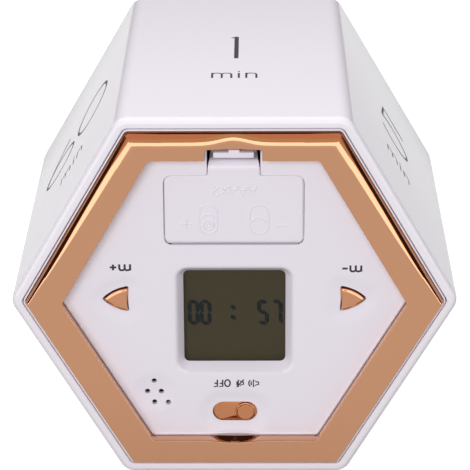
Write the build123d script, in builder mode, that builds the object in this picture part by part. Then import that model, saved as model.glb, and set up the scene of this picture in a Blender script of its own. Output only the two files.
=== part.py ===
from build123d import *
import os
from math import atan2, cos, degrees, radians, sin, tan

# Hexagonal flip timer. +Z is up, the display faces -Y, and the timer stands on one side face.
# The origin is at the middle of the underside of the bounding box.
# The body's long axis runs along Y, through the middle of the hexagon.

os.makedirs("parts", exist_ok=True)

# Driving sizes, in millimetres
across_flats = 72.0
shell_depth = 72.0
shell_wall = 1.9
ring_proud = 1.45
panel_recess = 3.3
panel_thickness = 2.2
cell_diameter = 10.5
cell_length = 44.5
fit_gap = 0.1
move_gap = 0.2
over_cut = 1.0

# Depths along the body, from the ring's face at the front to the shell's back
axis_height = across_flats / 2
ring_face = -(shell_depth + ring_proud) / 2
rim_face = ring_face + ring_proud
back_face = rim_face + shell_depth
panel_face = ring_face + panel_recess
panel_back = panel_face + panel_thickness


def facing(depth):
    """A plane square to the body's axis at a depth, seen from the front, centred on the axis."""
    return Plane(origin=(0, depth, axis_height), x_dir=(1, 0, 0), z_dir=(0, -1, 0))


def hexagon(flat_reach, side_reach):
    """Corners of a hexagon with level top and bottom, from its reach to those and to its slopes."""
    slope = radians(30)
    tip = side_reach / cos(slope)
    corner = (side_reach - flat_reach * sin(slope)) / cos(slope)
    return [
        (tip, 0),
        (corner, flat_reach),
        (-corner, flat_reach),
        (-tip, 0),
        (-corner, -flat_reach),
        (corner, -flat_reach),
    ]


# Shell: the white hexagonal cup, closed at the back, with six screw bosses in its corners
edge_radius = 3.2
back_radius = 1.6
rim_radius = 1.2
shell_reach = across_flats / 2
cavity_reach = shell_reach - shell_wall
cavity_radius = edge_radius - shell_wall
boss_radius = 3.4
boss_length = 14.0
boss_inset_share = 1.05
boss_orbit = cavity_reach / cos(radians(30)) - boss_radius * boss_inset_share
panel_screw_radius = 1.0
panel_screw_head = 2.1
panel_screw_length = 9.0

with BuildPart() as shell:
    with BuildSketch(facing(rim_face)):
        Polygon(*hexagon(shell_reach, shell_reach))
        fillet(vertices(), edge_radius)
    extrude(amount=-shell_depth)
    fillet(faces().sort_by(Axis.Y)[-1].edges(), back_radius)
    fillet(faces().sort_by(Axis.Y)[0].edges(), rim_radius)
    with BuildSketch(facing(rim_face)):
        Polygon(*hexagon(cavity_reach, cavity_reach))
        fillet(vertices(), cavity_radius)
    extrude(amount=-(shell_depth - shell_wall), mode=Mode.SUBTRACT)
    with BuildSketch(facing(panel_back)):
        with PolarLocations(boss_orbit, 6):
            Circle(boss_radius)
    extrude(amount=-boss_length)
    with BuildSketch(facing(panel_back)):
        with PolarLocations(boss_orbit, 6):
            Circle(panel_screw_radius + fit_gap / 2)
    extrude(amount=-panel_screw_length, mode=Mode.SUBTRACT)

shell.part.label = "shell"
export_step(shell.part, "parts/shell.step")

# Trim ring: the plated hexagonal ring, hollow behind, with five pins that go into the panel
ring_reach = cavity_reach - fit_gap
ring_bar_level = 5.63
ring_bar_slope = 6.44
ring_foot = 0.4
ring_bevel = 2.35
ring_wall = 1.5
ring_edge_radius = 1.0
ring_corner_radius = 0.8
opening_level = ring_reach - ring_bar_level
opening_slope = ring_reach - ring_bar_slope
opening_tip = opening_slope / cos(radians(30))
opening_radius = 1.1
ring_channel_depth = panel_recess - ring_wall
ring_pin_radius = 0.8
ring_pin_reach = (ring_reach - ring_wall + opening_level + ring_wall) / 2
ring_pin_length = 1.8
notch_half_width = 5.2
notch_rise = 2.13
notch_top = opening_level + notch_rise
scoop_half_width = 4.5
scoop_depth = 0.7
bite_half_width = 4.6
bite_depth = 0.65
scoop_radius = (scoop_half_width**2 + scoop_depth**2) / (2 * scoop_depth)
bite_radius = (bite_half_width**2 + bite_depth**2) / (2 * bite_depth)
bevel_rise = rim_face + ring_foot - ring_face
face_reach = ring_reach - ring_bevel

with BuildPart() as trim_ring:
    with BuildSketch(facing(panel_face)):
        Polygon(*hexagon(ring_reach, ring_reach))
    extrude(amount=panel_recess - bevel_rise)
    with BuildSketch(facing(rim_face + ring_foot)):
        Polygon(*hexagon(ring_reach, ring_reach))
    with BuildSketch(facing(ring_face)):
        Polygon(*hexagon(face_reach, face_reach))
    loft()
    bevel_middle = ring_face + bevel_rise / 2
    slanted = edges().filter_by(lambda edge: abs(edge.center().Y - bevel_middle) < bevel_rise / 4)
    upright = edges().filter_by(Axis.Y)
    fillet(slanted + upright, ring_corner_radius)
    fillet(faces().sort_by(Axis.Y)[0].edges(), ring_edge_radius)
    with BuildSketch(facing(panel_face)):
        Polygon(*hexagon(opening_level, opening_slope))
        fillet(vertices(), opening_radius)
    extrude(amount=panel_recess + over_cut, mode=Mode.SUBTRACT)
    with BuildSketch(facing(panel_face)):
        Polygon(*hexagon(ring_reach - ring_wall, ring_reach - ring_wall))
        Polygon(*hexagon(opening_level + ring_wall, opening_slope + ring_wall), mode=Mode.SUBTRACT)
        with Locations((0, ring_reach)):
            Rectangle(2 * (notch_half_width + ring_wall), 2 * ring_bar_level, mode=Mode.SUBTRACT)
    extrude(amount=ring_channel_depth, mode=Mode.SUBTRACT)
    with BuildSketch(facing(panel_face - ring_channel_depth)):
        with PolarLocations(ring_pin_reach, 5, start_angle=150, angular_range=300):
            Circle(ring_pin_radius)
    extrude(amount=-(ring_channel_depth + ring_pin_length))
    with BuildSketch(facing(panel_face)):
        with Locations((0, (notch_top + opening_level - over_cut) / 2)):
            Rectangle(2 * notch_half_width, notch_top - opening_level + over_cut)
    extrude(amount=panel_recess + over_cut, mode=Mode.SUBTRACT)
    with BuildSketch(Plane.XY.offset(axis_height + opening_level - over_cut)):
        with Locations((0, ring_face + scoop_depth - scoop_radius)):
            Circle(scoop_radius)
    extrude(amount=ring_bar_level + 2 * over_cut, mode=Mode.SUBTRACT)
    with BuildSketch(facing(panel_face)):
        with Locations((0, bite_radius - opening_level - bite_depth)):
            Circle(bite_radius)
    extrude(amount=panel_recess + over_cut, mode=Mode.SUBTRACT)

trim_ring.part.label = "trim_ring"
export_step(trim_ring.part, "parts/trim_ring.step")

# Battery door: where its outline, neck and hinge lie, shared with the panel and the battery box
bay_play = 0.25
bay_web = 0.5
box_wall = 1.2
box_side_gap = 0.3
bay_radius = cell_diameter / 2 + bay_play
bay_x = bay_radius + bay_web / 2
box_half_width = bay_x + bay_radius + box_wall
door_half_width = box_half_width + box_side_gap
door_height = 2 * (bay_radius + box_wall) + fit_gap
door_margin = 4.17
door_top = opening_level - door_margin
door_bottom = door_top - door_height
door_corner = 1.4
door_thickness = 1.6
neck_half_width = 4.75
neck_corner = 0.5
hinge_inset = 1.2
hinge_radius = 0.7
hinge_reach = 1.2
hinge_depth = 1.2
hinge_height = door_bottom + hinge_inset
latch_thickness = 1.0
latch_turn = 1.1
latch_clear = 1.7
latch_outer = notch_top - latch_clear
latch_inner = latch_outer - 2 * latch_turn
latch_depth = 4.2
latch_tip = 1.5
latch_half_width = 3.5
latch_roll = 1.3
catch_half_width = 1.05
catch_height = 0.5
catch_length = 1.2
cell_height = (door_top + door_bottom) / 2 - fit_gap
recess_top = latch_outer + latch_thickness / 2 + catch_height + 2 * move_gap
ledge_length = 1.2
ledge_clear = 1.2
ledge_inner = neck_half_width + ledge_clear
ledge_thickness = panel_thickness - door_thickness - fit_gap


def door_outline(grow):
    """The door and its neck in one outline, grown all round by a gap."""
    with BuildSketch(mode=Mode.PRIVATE) as outline:
        with Locations((0, (door_top + door_bottom) / 2)):
            RectangleRounded(
                2 * (door_half_width + grow), door_top - door_bottom + 2 * grow, door_corner + grow
            )
        neck_top = recess_top if grow else latch_inner - latch_roll
        with Locations((0, (neck_top + door_bottom + door_corner) / 2)):
            Rectangle(2 * (neck_half_width + grow), neck_top - door_bottom - door_corner)
        inner_corners = outline.vertices().filter_by(
            lambda corner: abs(corner.Y - door_top - grow) < neck_corner and abs(corner.X) < ledge_inner
        )
        fillet(inner_corners, neck_corner)
    return outline.sketch


# Slide switch: an obround slot in a dish, with a plate behind that fills it at every stop
slot_foot = 4.37
slot_height = slot_foot - opening_level
slot_length = 8.4
slot_width = 4.0
slot_floor = 0.35
switch_dish_margin = 2.0
slot_floor_margin = 0.6
switch_travel = 4.0
slide_plate_length = slot_length + switch_travel + 2 * move_gap
slide_plate_width = 6.0
slide_plate_thickness = 0.8
rail_height = 1.6
rail_thickness = 1.2

# Buttons: rounded triangles that point away from the display, each in a dish
cap_corner_gap = 7.47
cap_length = 4.6
cap_tip = opening_tip - cap_corner_gap
cap_inner = cap_tip - cap_length
cap_half_height = 2.35
cap_bulge = 0.5
cap_hollow = 0.18
cap_corner = 0.3
cap_proud = 0.4
cap_travel = 0.4
dish_depth = 0.9
dish_margin = 2.3
dish_floor_margin = 0.9
slide_pocket_face = panel_face + dish_depth + slot_floor

# Display: a window between the door and the switch, the glass behind it and the bevel around it
window_top_gap = 6.07
window_low_gap = 9.88
window_side_gap = 10.25
window_top = door_bottom - window_top_gap
window_bottom = slot_height + window_low_gap
window_width = 2 * (cap_inner - window_side_gap)
window_height = window_top - window_bottom
window_drop = -(window_top + window_bottom) / 2
window_corner = 1.0
window_recess = 2.0
window_bevel = 1.5
window_thickness = 1.2
window_lip = 1.0
window_wall = 0.9
window_frame_width = window_width + 2 * (window_lip + fit_gap + window_wall)
window_frame_height = window_height + 2 * (window_lip + fit_gap + window_wall)
window_back = panel_face + window_recess + window_thickness


def cap_outline(side, grow):
    """Outline of a button on one side of the display, grown all round by a margin."""
    run = cap_tip - cap_inner
    flank = (run**2 + cap_half_height**2) ** 0.5
    inner = cap_inner - grow
    tip = cap_tip + grow * flank / cap_half_height
    half_height = cap_half_height + grow * (flank + cap_half_height) / run
    mid_x = (inner + tip) / 2 + cap_bulge * cap_half_height / flank
    mid_y = half_height / 2 + cap_bulge * run / flank
    with BuildSketch(mode=Mode.PRIVATE) as outline:
        with BuildLine():
            ThreePointArc((side * inner, half_height), (side * mid_x, mid_y), (side * tip, 0))
            ThreePointArc((side * tip, 0), (side * mid_x, -mid_y), (side * inner, -half_height))
            hollow = (side * (inner + cap_hollow), 0)
            ThreePointArc((side * inner, -half_height), hollow, (side * inner, half_height))
        make_face()
        fillet(outline.vertices(), cap_corner + grow)
    return outline.sketch


# Buzzer: a round case behind five holes in a shallow round dish
sound_side_gap = 3.7
sound_x = -window_frame_width / 2 - sound_side_gap
sound_rise = 4.3
sound_height = slot_height + sound_rise
sound_hole_radius = 0.45
sound_pitch = 2.6
sound_dish_radius = 4.0
sound_dish_depth = 0.35
sound_sphere = (sound_dish_radius**2 + sound_dish_depth**2) / (2 * sound_dish_depth)
buzzer_step = 1.7
buzzer_drop = 1.5
buzzer_x = sound_x - buzzer_step
buzzer_height = sound_height - buzzer_drop
buzzer_radius = 4.5
buzzer_depth = 4.4
collar_wall = 0.8
collar_depth = 3.0
sound_row_share = sin(radians(60))
sound_hole_shares = ((0.0, 1.0), (-0.5, 0.0), (0.5, 0.0), (0.0, -1.0), (1.0, -1.0))

# Circuit board, its posts on the back of the panel, and the battery box's bosses there
pcb_gap = 6.4
pcb_thickness = 1.6
pcb_rim = 0.3
pcb_foot = 3.0
frame_wall = 1.0
pcb_face = panel_back + pcb_gap
pcb_back = pcb_face + pcb_thickness
pcb_top = window_top + window_lip + window_wall + 2 * fit_gap + frame_wall + pcb_rim
pcb_bottom = slot_height - pcb_foot
post_radius = 1.8
post_clear = 4.2
post_inset = 2.5
post_step = 11.7
post_foot = 1.0
post_x = window_frame_width / 2 + post_clear
post_top = pcb_top - post_inset
post_middle = buzzer_height + post_step
post_bottom = slot_height + post_foot
post_places = ((-post_x, post_top), (post_x, post_top), (-post_x, post_middle), (post_x, post_bottom))
pcb_screw_radius = 0.9
pcb_screw_head = 1.7
pcb_screw_length = 5.0
pcb_screw_head_height = 1.1
box_boss_radius = 2.3
box_boss_height = 3.0
box_boss_clear = 3.95
box_boss_x = box_half_width + box_boss_clear
box_screw_radius = 0.9
box_screw_head = 1.7
box_screw_length = 3.4

# Front panel: the white plate inside the ring
panel_reach = cavity_reach - fit_gap

with BuildPart() as front_panel:
    with BuildSketch(facing(panel_face)):
        Polygon(*hexagon(panel_reach, panel_reach))
        fillet(vertices(), cavity_radius)
    extrude(amount=-panel_thickness)
    with BuildSketch(facing(panel_back)):
        with Locations((0, -window_drop)):
            Rectangle(window_frame_width, window_frame_height)
    extrude(amount=-(window_back - panel_back))
    with BuildSketch(facing(panel_back)):
        with Locations(*post_places):
            Circle(post_radius)
    extrude(amount=-pcb_gap)
    with BuildSketch(facing(panel_back)):
        with Locations((-box_boss_x, cell_height), (box_boss_x, cell_height)):
            Circle(box_boss_radius)
    extrude(amount=-box_boss_height)
    with BuildSketch(facing(panel_back)):
        with Locations((buzzer_x, buzzer_height)):
            Circle(buzzer_radius + fit_gap + collar_wall)
            Circle(buzzer_radius + fit_gap, mode=Mode.SUBTRACT)
    extrude(amount=-collar_depth)
    with BuildSketch(facing(panel_back)):
        rail_offset = (slide_plate_width + rail_thickness) / 2 + move_gap
        with Locations((0, slot_height + rail_offset), (0, slot_height - rail_offset)):
            Rectangle(slot_length, rail_thickness)
    extrude(amount=-rail_height)
    with BuildSketch(facing(panel_face)):
        with Locations((0, -window_drop)):
            RectangleRounded(
                window_width + 2 * window_bevel,
                window_height + 2 * window_bevel,
                window_corner + window_bevel,
            )
    with BuildSketch(facing(panel_face + window_recess)):
        with Locations((0, -window_drop)):
            RectangleRounded(window_width, window_height, window_corner)
    loft(mode=Mode.SUBTRACT)
    with BuildSketch(facing(window_back)):
        with Locations((0, -window_drop)):
            Rectangle(
                window_width + 2 * (window_lip + fit_gap), window_height + 2 * (window_lip + fit_gap)
            )
    extrude(amount=window_thickness, mode=Mode.SUBTRACT)
    with BuildSketch(facing(panel_face)):
        add(door_outline(move_gap))
    extrude(amount=-panel_thickness, mode=Mode.SUBTRACT)
    with BuildSketch(facing(panel_back)):
        ledge_x = (door_half_width + ledge_inner + move_gap) / 2
        with Locations((-ledge_x, door_top), (ledge_x, door_top)):
            Rectangle(door_half_width + move_gap - ledge_inner, ledge_length)
    extrude(amount=ledge_thickness)
    with BuildSketch(Plane.YZ):
        with Locations((panel_face + hinge_depth, axis_height + hinge_height)):
            Circle(hinge_radius + fit_gap / 2)
    extrude(amount=door_half_width + hinge_reach + move_gap, both=True, mode=Mode.SUBTRACT)
    with BuildSketch(Plane.YZ):
        with Locations((panel_face + hinge_depth, axis_height + hinge_height)):
            Circle(hinge_inset + fit_gap)
        with Locations((panel_face + (hinge_depth - over_cut) / 2, axis_height + hinge_height)):
            Rectangle(hinge_depth + over_cut, 2 * (hinge_inset + fit_gap))
    extrude(amount=door_half_width + move_gap, both=True, mode=Mode.SUBTRACT)
    for side in (-1, 1):
        with BuildSketch(facing(panel_face)):
            add(cap_outline(side, dish_margin))
        with BuildSketch(facing(panel_face + dish_depth)):
            add(cap_outline(side, dish_floor_margin))
        loft(mode=Mode.SUBTRACT)
        with BuildSketch(facing(panel_face)):
            add(cap_outline(side, move_gap))
        extrude(amount=-panel_thickness, mode=Mode.SUBTRACT)
    with BuildSketch(facing(panel_face)):
        with Locations((0, slot_height)):
            SlotOverall(slot_length + 2 * switch_dish_margin, slot_width + 2 * switch_dish_margin)
    with BuildSketch(facing(panel_face + dish_depth)):
        with Locations((0, slot_height)):
            SlotOverall(slot_length + 2 * slot_floor_margin, slot_width + 2 * slot_floor_margin)
    loft(mode=Mode.SUBTRACT)
    with BuildSketch(facing(panel_face)):
        with Locations((0, slot_height)):
            SlotOverall(slot_length, slot_width)
    extrude(amount=-panel_thickness, mode=Mode.SUBTRACT)
    with BuildSketch(facing(slide_pocket_face)):
        with Locations((0, slot_height)):
            Rectangle(slide_plate_length + switch_travel + 2 * move_gap, slide_plate_width + 2 * move_gap)
    extrude(amount=-(panel_back - slide_pocket_face), mode=Mode.SUBTRACT)
    with Locations((sound_x, panel_face + sound_dish_depth - sound_sphere, axis_height + sound_height)):
        Sphere(sound_sphere, mode=Mode.SUBTRACT)
    with BuildSketch(facing(panel_face)):
        for across, up in sound_hole_shares:
            hole_x = sound_x + across * sound_pitch
            hole_height = sound_height + up * sound_pitch * sound_row_share
            with Locations((hole_x, hole_height)):
                Circle(sound_hole_radius)
    extrude(amount=-panel_thickness, mode=Mode.SUBTRACT)
    with Locations(facing(panel_face)):
        with PolarLocations(boss_orbit, 6):
            CounterSinkHole(panel_screw_radius + fit_gap, panel_screw_head + fit_gap)
    with BuildSketch(facing(panel_face)):
        with PolarLocations(ring_pin_reach, 5, start_angle=150, angular_range=300):
            Circle(ring_pin_radius + fit_gap / 2)
    extrude(amount=-panel_thickness, mode=Mode.SUBTRACT)
    with BuildSketch(facing(pcb_face)):
        with Locations(*post_places):
            Circle(pcb_screw_radius + fit_gap / 2)
    extrude(amount=pcb_screw_length, mode=Mode.SUBTRACT)
    with BuildSketch(facing(panel_back + box_boss_height)):
        with Locations((-box_boss_x, cell_height), (box_boss_x, cell_height)):
            Circle(box_screw_radius + fit_gap / 2)
    extrude(amount=box_screw_length, mode=Mode.SUBTRACT)

front_panel.part.label = "front_panel"
export_step(front_panel.part, "parts/front_panel.step")

# Display window: clear plastic, set into the back of its bevelled opening
with BuildPart() as lcd_window:
    with BuildSketch(facing(window_back)):
        with Locations((0, -window_drop)):
            Rectangle(window_width + 2 * window_lip, window_height + 2 * window_lip)
    extrude(amount=window_thickness)

lcd_window.part.label = "lcd_window"
export_step(lcd_window.part, "parts/lcd_window.step")

# Display cell: glass, the reflecting film behind it, the frame round both and two rubber strips
glass_thickness = 2.0
film_thickness = 0.3
frame_width = window_frame_width + 2 * fit_gap
frame_height = window_frame_height + 2 * fit_gap
frame_ledge = 1.4
frame_ledge_depth = 1.0
strip_width = 2.0
strip_margin = 0.5
glass_face = window_back + fit_gap
glass_back = glass_face + glass_thickness
film_height = frame_height - 2 * (strip_width + 2 * strip_margin)

with BuildPart() as lcd_glass:
    with BuildSketch(facing(glass_back)):
        with Locations((0, -window_drop)):
            Rectangle(frame_width - 2 * fit_gap, frame_height - 2 * fit_gap)
    extrude(amount=glass_thickness)

lcd_glass.part.label = "lcd_glass"
export_step(lcd_glass.part, "parts/lcd_glass.step")

with BuildPart() as lcd_rear_film:
    with BuildSketch(facing(glass_back)):
        with Locations((0, -window_drop)):
            Rectangle(frame_width - 2 * fit_gap, film_height)
    extrude(amount=-film_thickness)

lcd_rear_film.part.label = "lcd_rear_film"
export_step(lcd_rear_film.part, "parts/lcd_rear_film.step")

with BuildPart() as lcd_frame:
    with BuildSketch(facing(panel_back)):
        with Locations((0, -window_drop)):
            Rectangle(frame_width + 2 * frame_wall, frame_height + 2 * frame_wall)
            Rectangle(frame_width, frame_height, mode=Mode.SUBTRACT)
    extrude(amount=-pcb_gap)
    with BuildSketch(facing(glass_back + film_thickness)):
        ledge_place = (frame_width - frame_ledge) / 2
        with Locations((-ledge_place, -window_drop), (ledge_place, -window_drop)):
            Rectangle(frame_ledge, film_height)
    extrude(amount=-frame_ledge_depth)

lcd_frame.part.label = "lcd_frame"
export_step(lcd_frame.part, "parts/lcd_frame.step")

with BuildPart() as zebra_strips:
    with BuildSketch(facing(glass_back)):
        strip_place = frame_height / 2 - strip_margin - strip_width / 2
        with Locations((0, strip_place - window_drop), (0, -strip_place - window_drop)):
            Rectangle(frame_width - 2 * strip_margin, strip_width)
    extrude(amount=-(pcb_face - glass_back))

zebra_strips.part.label = "zebra_strips"
export_step(zebra_strips.part, "parts/zebra_strips.step")

# Circuit board: carried on the panel's four posts, with an arm out to each button
tact_inset = 1.75
tact_size = 6.0
tact_x = cap_inner + tact_inset
pcb_margin = 2.0
pcb_side = 3.1
pcb_corner = 1.0

with BuildPart() as main_pcb:
    with BuildSketch(facing(pcb_face)):
        with Locations((0, (pcb_top + pcb_bottom) / 2)):
            RectangleRounded(2 * (pcb_side - buzzer_x), pcb_top - pcb_bottom, pcb_corner)
        RectangleRounded(
            2 * tact_x + tact_size + 2 * pcb_margin, tact_size + 2 * pcb_rim, pcb_corner
        )
        with Locations(*post_places):
            Circle(pcb_screw_radius + fit_gap, mode=Mode.SUBTRACT)
    extrude(amount=-pcb_thickness)

main_pcb.part.label = "main_pcb"
export_step(main_pcb.part, "parts/main_pcb.step")

# Parts soldered to the back of the board
chip_size = 10.0
chip_thickness = 1.5
chip_x = 7.5
sensor_size = 4.0
sensor_thickness = 1.2
sensor_height = -5.0
capacitor_radius = 2.5
capacitor_length = 6.5
capacitor_x = -14.0
part_rise = 11.0
part_height = pcb_bottom + part_rise

with BuildPart() as timer_chip:
    with BuildSketch(facing(pcb_back)):
        with Locations((chip_x, part_height)):
            Rectangle(chip_size, chip_size)
    extrude(amount=-chip_thickness)
    chamfer(faces().sort_by(Axis.Y)[-1].edges(), fit_gap)

timer_chip.part.label = "timer_chip"
export_step(timer_chip.part, "parts/timer_chip.step")

with BuildPart() as gravity_sensor:
    with BuildSketch(facing(pcb_back)):
        with Locations((0, sensor_height)):
            Rectangle(sensor_size, sensor_size)
    extrude(amount=-sensor_thickness)
    chamfer(faces().sort_by(Axis.Y)[-1].edges(), fit_gap)

gravity_sensor.part.label = "gravity_sensor"
export_step(gravity_sensor.part, "parts/gravity_sensor.step")

with BuildPart() as capacitor:
    with BuildSketch(facing(pcb_back)):
        with Locations((capacitor_x, part_height)):
            Circle(capacitor_radius)
    extrude(amount=-capacitor_length)
    chamfer(faces().sort_by(Axis.Y)[-1].edges(), 2 * fit_gap)

capacitor.part.label = "capacitor"
export_step(capacitor.part, "parts/capacitor.step")

# Tact switches: two square bases on the front of the board, each with a round plunger
tact_height = 3.4
plunger_radius = 1.7
plunger_proud = 0.7
plunger_sunk = 0.8
tact_face = pcb_face - tact_height
plunger_face = tact_face - plunger_proud

with BuildPart() as tact_switches:
    with BuildSketch(facing(pcb_face)):
        with Locations((-tact_x, 0), (tact_x, 0)):
            Rectangle(tact_size, tact_size)
    extrude(amount=tact_height)
    with BuildSketch(facing(tact_face)):
        with Locations((-tact_x, 0), (tact_x, 0)):
            Circle(plunger_radius + fit_gap)
    extrude(amount=-(plunger_sunk + cap_travel + move_gap), mode=Mode.SUBTRACT)

tact_switches.part.label = "tact_switches"
export_step(tact_switches.part, "parts/tact_switches.step")

# Buttons: plated caps with a flange behind the panel and a stem that rests on the plunger
cap_edge = 0.45
flange_margin = 0.9
flange_thickness = 1.0
flange_face = panel_back + fit_gap
stem_radius = 1.5

for name, side in (("plus", -1), ("minus", 1)):
    with BuildPart() as button:
        with BuildSketch(facing(flange_face)):
            add(cap_outline(side, 0))
        extrude(amount=flange_face - panel_face + cap_proud)
        fillet(faces().sort_by(Axis.Y)[0].edges(), cap_edge)
        with BuildSketch(facing(flange_face)):
            add(cap_outline(side, flange_margin))
        extrude(amount=-flange_thickness)
        with BuildSketch(facing(flange_face + flange_thickness)):
            with Locations((side * tact_x, 0)):
                Circle(stem_radius)
        extrude(amount=-(plunger_face - flange_face - flange_thickness))
    button.part.label = name + "_button"
    export_step(button.part, "parts/" + name + "_button.step")

    with BuildPart() as plunger:
        with BuildSketch(facing(plunger_face)):
            with Locations((side * tact_x, 0)):
                Circle(plunger_radius)
        extrude(amount=-(plunger_proud + plunger_sunk))
    plunger.part.label = name + "_plunger"
    export_step(plunger.part, "parts/" + name + "_plunger.step")

# Slide switch: body on the board, lever, and the plated slider that the finger moves
switch_body_length = 9.0
switch_body_width = 4.4
switch_body_height = 3.6
lever_length = 1.5
lever_width = 1.6
lever_proud = 1.8
lever_sunk = 1.0
knob_base_radius = 1.85
knob_top_radius = 1.55
knob_proud = 0.1
knob_edge = 0.3
knob_place = (switch_travel / 2, slot_height)
prong_length = 1.0
prong_width = 3.0
prong_height = 2.2
plate_face = slide_pocket_face + fit_gap
plate_back = plate_face + slide_plate_thickness
switch_face = pcb_face - switch_body_height

with BuildPart() as slide_switch:
    with BuildSketch(facing(pcb_face)):
        with Locations((0, slot_height)):
            Rectangle(switch_body_length, switch_body_width)
    extrude(amount=switch_body_height)
    with BuildSketch(facing(switch_face)):
        with Locations((0, slot_height)):
            Rectangle(lever_length + switch_travel + 2 * move_gap, lever_width + 2 * fit_gap)
    extrude(amount=-(lever_sunk + move_gap), mode=Mode.SUBTRACT)

slide_switch.part.label = "slide_switch"
export_step(slide_switch.part, "parts/slide_switch.step")

with BuildPart() as slide_lever:
    with BuildSketch(facing(switch_face - lever_proud)):
        with Locations(knob_place):
            Rectangle(lever_length, lever_width)
    extrude(amount=-(lever_proud + lever_sunk))

slide_lever.part.label = "slide_lever"
export_step(slide_lever.part, "parts/slide_lever.step")

with BuildPart() as switch_slider:
    with BuildSketch(facing(plate_face)):
        with Locations(knob_place):
            RectangleRounded(slide_plate_length, slide_plate_width, knob_edge)
    extrude(amount=-slide_plate_thickness)
    with BuildSketch(facing(plate_face)):
        with Locations(knob_place):
            Circle(knob_base_radius)
    with BuildSketch(facing(panel_face - knob_proud)):
        with Locations(knob_place):
            Circle(knob_top_radius)
    loft()
    fillet(faces().sort_by(Axis.Y)[0].edges(), knob_edge)
    with BuildSketch(facing(plate_back)):
        prong_step = (lever_length + prong_length) / 2 + fit_gap / 2
        with Locations(knob_place):
            with Locations((-prong_step, 0), (prong_step, 0)):
                Rectangle(prong_length, prong_width)
    extrude(amount=-prong_height)

switch_slider.part.label = "switch_slider"
export_step(switch_slider.part, "parts/switch_slider.step")

# Buzzer: round case in the panel's collar, standing on the board by two pins, with its disc inside
buzzer_wall = 0.7
buzzer_port_radius = 1.4
buzzer_pin_radius = 0.35
buzzer_pin_step = 2.0
buzzer_disc_thickness = 0.25
sound_gap = 0.6
buzzer_face = panel_back + sound_gap
buzzer_back = buzzer_face + buzzer_depth

with BuildPart() as buzzer_case:
    with BuildSketch(facing(buzzer_face)):
        with Locations((buzzer_x, buzzer_height)):
            Circle(buzzer_radius)
    extrude(amount=-buzzer_depth)
    with BuildSketch(facing(buzzer_face + buzzer_wall)):
        with Locations((buzzer_x, buzzer_height)):
            Circle(buzzer_radius - buzzer_wall)
    extrude(amount=-(buzzer_depth - 2 * buzzer_wall), mode=Mode.SUBTRACT)
    with BuildSketch(facing(buzzer_face)):
        with Locations((buzzer_x, buzzer_height)):
            Circle(buzzer_port_radius)
    extrude(amount=-buzzer_wall, mode=Mode.SUBTRACT)
    with BuildSketch(facing(buzzer_back)):
        with Locations((buzzer_x, buzzer_height)):
            with Locations((-buzzer_pin_step, 0), (buzzer_pin_step, 0)):
                Circle(buzzer_pin_radius)
    extrude(amount=-(pcb_face - buzzer_back))

buzzer_case.part.label = "buzzer_case"
export_step(buzzer_case.part, "parts/buzzer_case.step")

with BuildPart() as buzzer_disc:
    with BuildSketch(facing((buzzer_face + buzzer_back) / 2)):
        with Locations((buzzer_x, buzzer_height)):
            Circle(buzzer_radius - buzzer_wall - fit_gap / 2)
    extrude(amount=-buzzer_disc_thickness)

buzzer_disc.part.label = "buzzer_disc"
export_step(buzzer_disc.part, "parts/buzzer_disc.step")

# Battery door: a lid with knuckles and pins at its foot, and a neck that rolls into a U-shaped latch
door_edge = 0.35
knuckle_length = 1.6

with BuildPart() as battery_door:
    with BuildSketch(facing(panel_face)):
        add(door_outline(0))
    extrude(amount=-door_thickness)
    lid_rim = faces().sort_by(Axis.Y)[0].edges().sort_by(Axis.Z)
    fillet(lid_rim[1:-1], door_edge)
    with BuildSketch(Plane.YZ):
        with Locations((panel_face + door_thickness / 2, axis_height + hinge_height - hinge_inset)):
            Rectangle(door_thickness, 2 * hinge_inset)
        with Locations((panel_face + hinge_depth, axis_height + hinge_height)):
            Circle(hinge_inset, mode=Mode.SUBTRACT)
    extrude(amount=door_half_width, both=True, mode=Mode.SUBTRACT)
    with BuildSketch(Plane.YZ):
        with BuildLine():
            plate_line = panel_face + latch_thickness / 2
            roll_start = axis_height + latch_inner - latch_roll
            straight = Line((plate_line, roll_start - latch_thickness), (plate_line, roll_start))
            roll_end = (plate_line + latch_roll, axis_height + latch_inner)
            roll = TangentArc(straight @ 1, roll_end, tangent=straight % 1)
            inward = Line(roll_end, (panel_face + latch_depth, axis_height + latch_inner))
            turn_back = (panel_face + latch_depth + latch_turn, axis_height + latch_inner + latch_turn)
            turn_end = (panel_face + latch_depth, axis_height + latch_outer)
            ThreePointArc(inward @ 1, turn_back, turn_end)
        trace(line_width=latch_thickness)
    extrude(amount=neck_half_width, both=True)
    with BuildSketch(Plane.YZ):
        with BuildLine():
            Line(turn_end, (panel_face - latch_tip, axis_height + latch_outer))
        trace(line_width=latch_thickness)
    extrude(amount=latch_half_width, both=True)
    with BuildSketch(facing(panel_face - latch_tip)):
        with Locations((0, latch_outer + (latch_thickness + catch_height) / 2)):
            Rectangle(2 * catch_half_width, catch_height)
    extrude(amount=-catch_length)
    for side in (-1, 1):
        knuckle_end = door_half_width - door_corner
        with BuildSketch(Plane.YZ.offset(side * (knuckle_end - knuckle_length))):
            with Locations((panel_face + hinge_depth, axis_height + hinge_height)):
                Circle(hinge_inset)
        extrude(amount=side * knuckle_length)
        with BuildSketch(Plane.YZ.offset(side * knuckle_end)):
            with Locations((panel_face + hinge_depth, axis_height + hinge_height)):
                Circle(hinge_radius)
        extrude(amount=side * (door_corner + hinge_reach))

battery_door.part.label = "battery_door"
export_step(battery_door.part, "parts/battery_door.step")

# Battery box: two round bays behind the door, held by two ears on the panel's bosses
ear_thickness = 1.6
ear_width = 5.4
spring_room = 2.4
contact_thickness = 0.4
contact_gap = 0.3
contact_rise = 1.3
cell_front = panel_face + door_thickness + contact_thickness + contact_rise + contact_gap
cell_back = cell_front + cell_length
bay_floor = cell_back + spring_room
box_back = bay_floor + box_wall
ear_face = panel_back + box_boss_height
tab_width = 2.0
tab_drop = 3.0
tab_proud = 2.4

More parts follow.
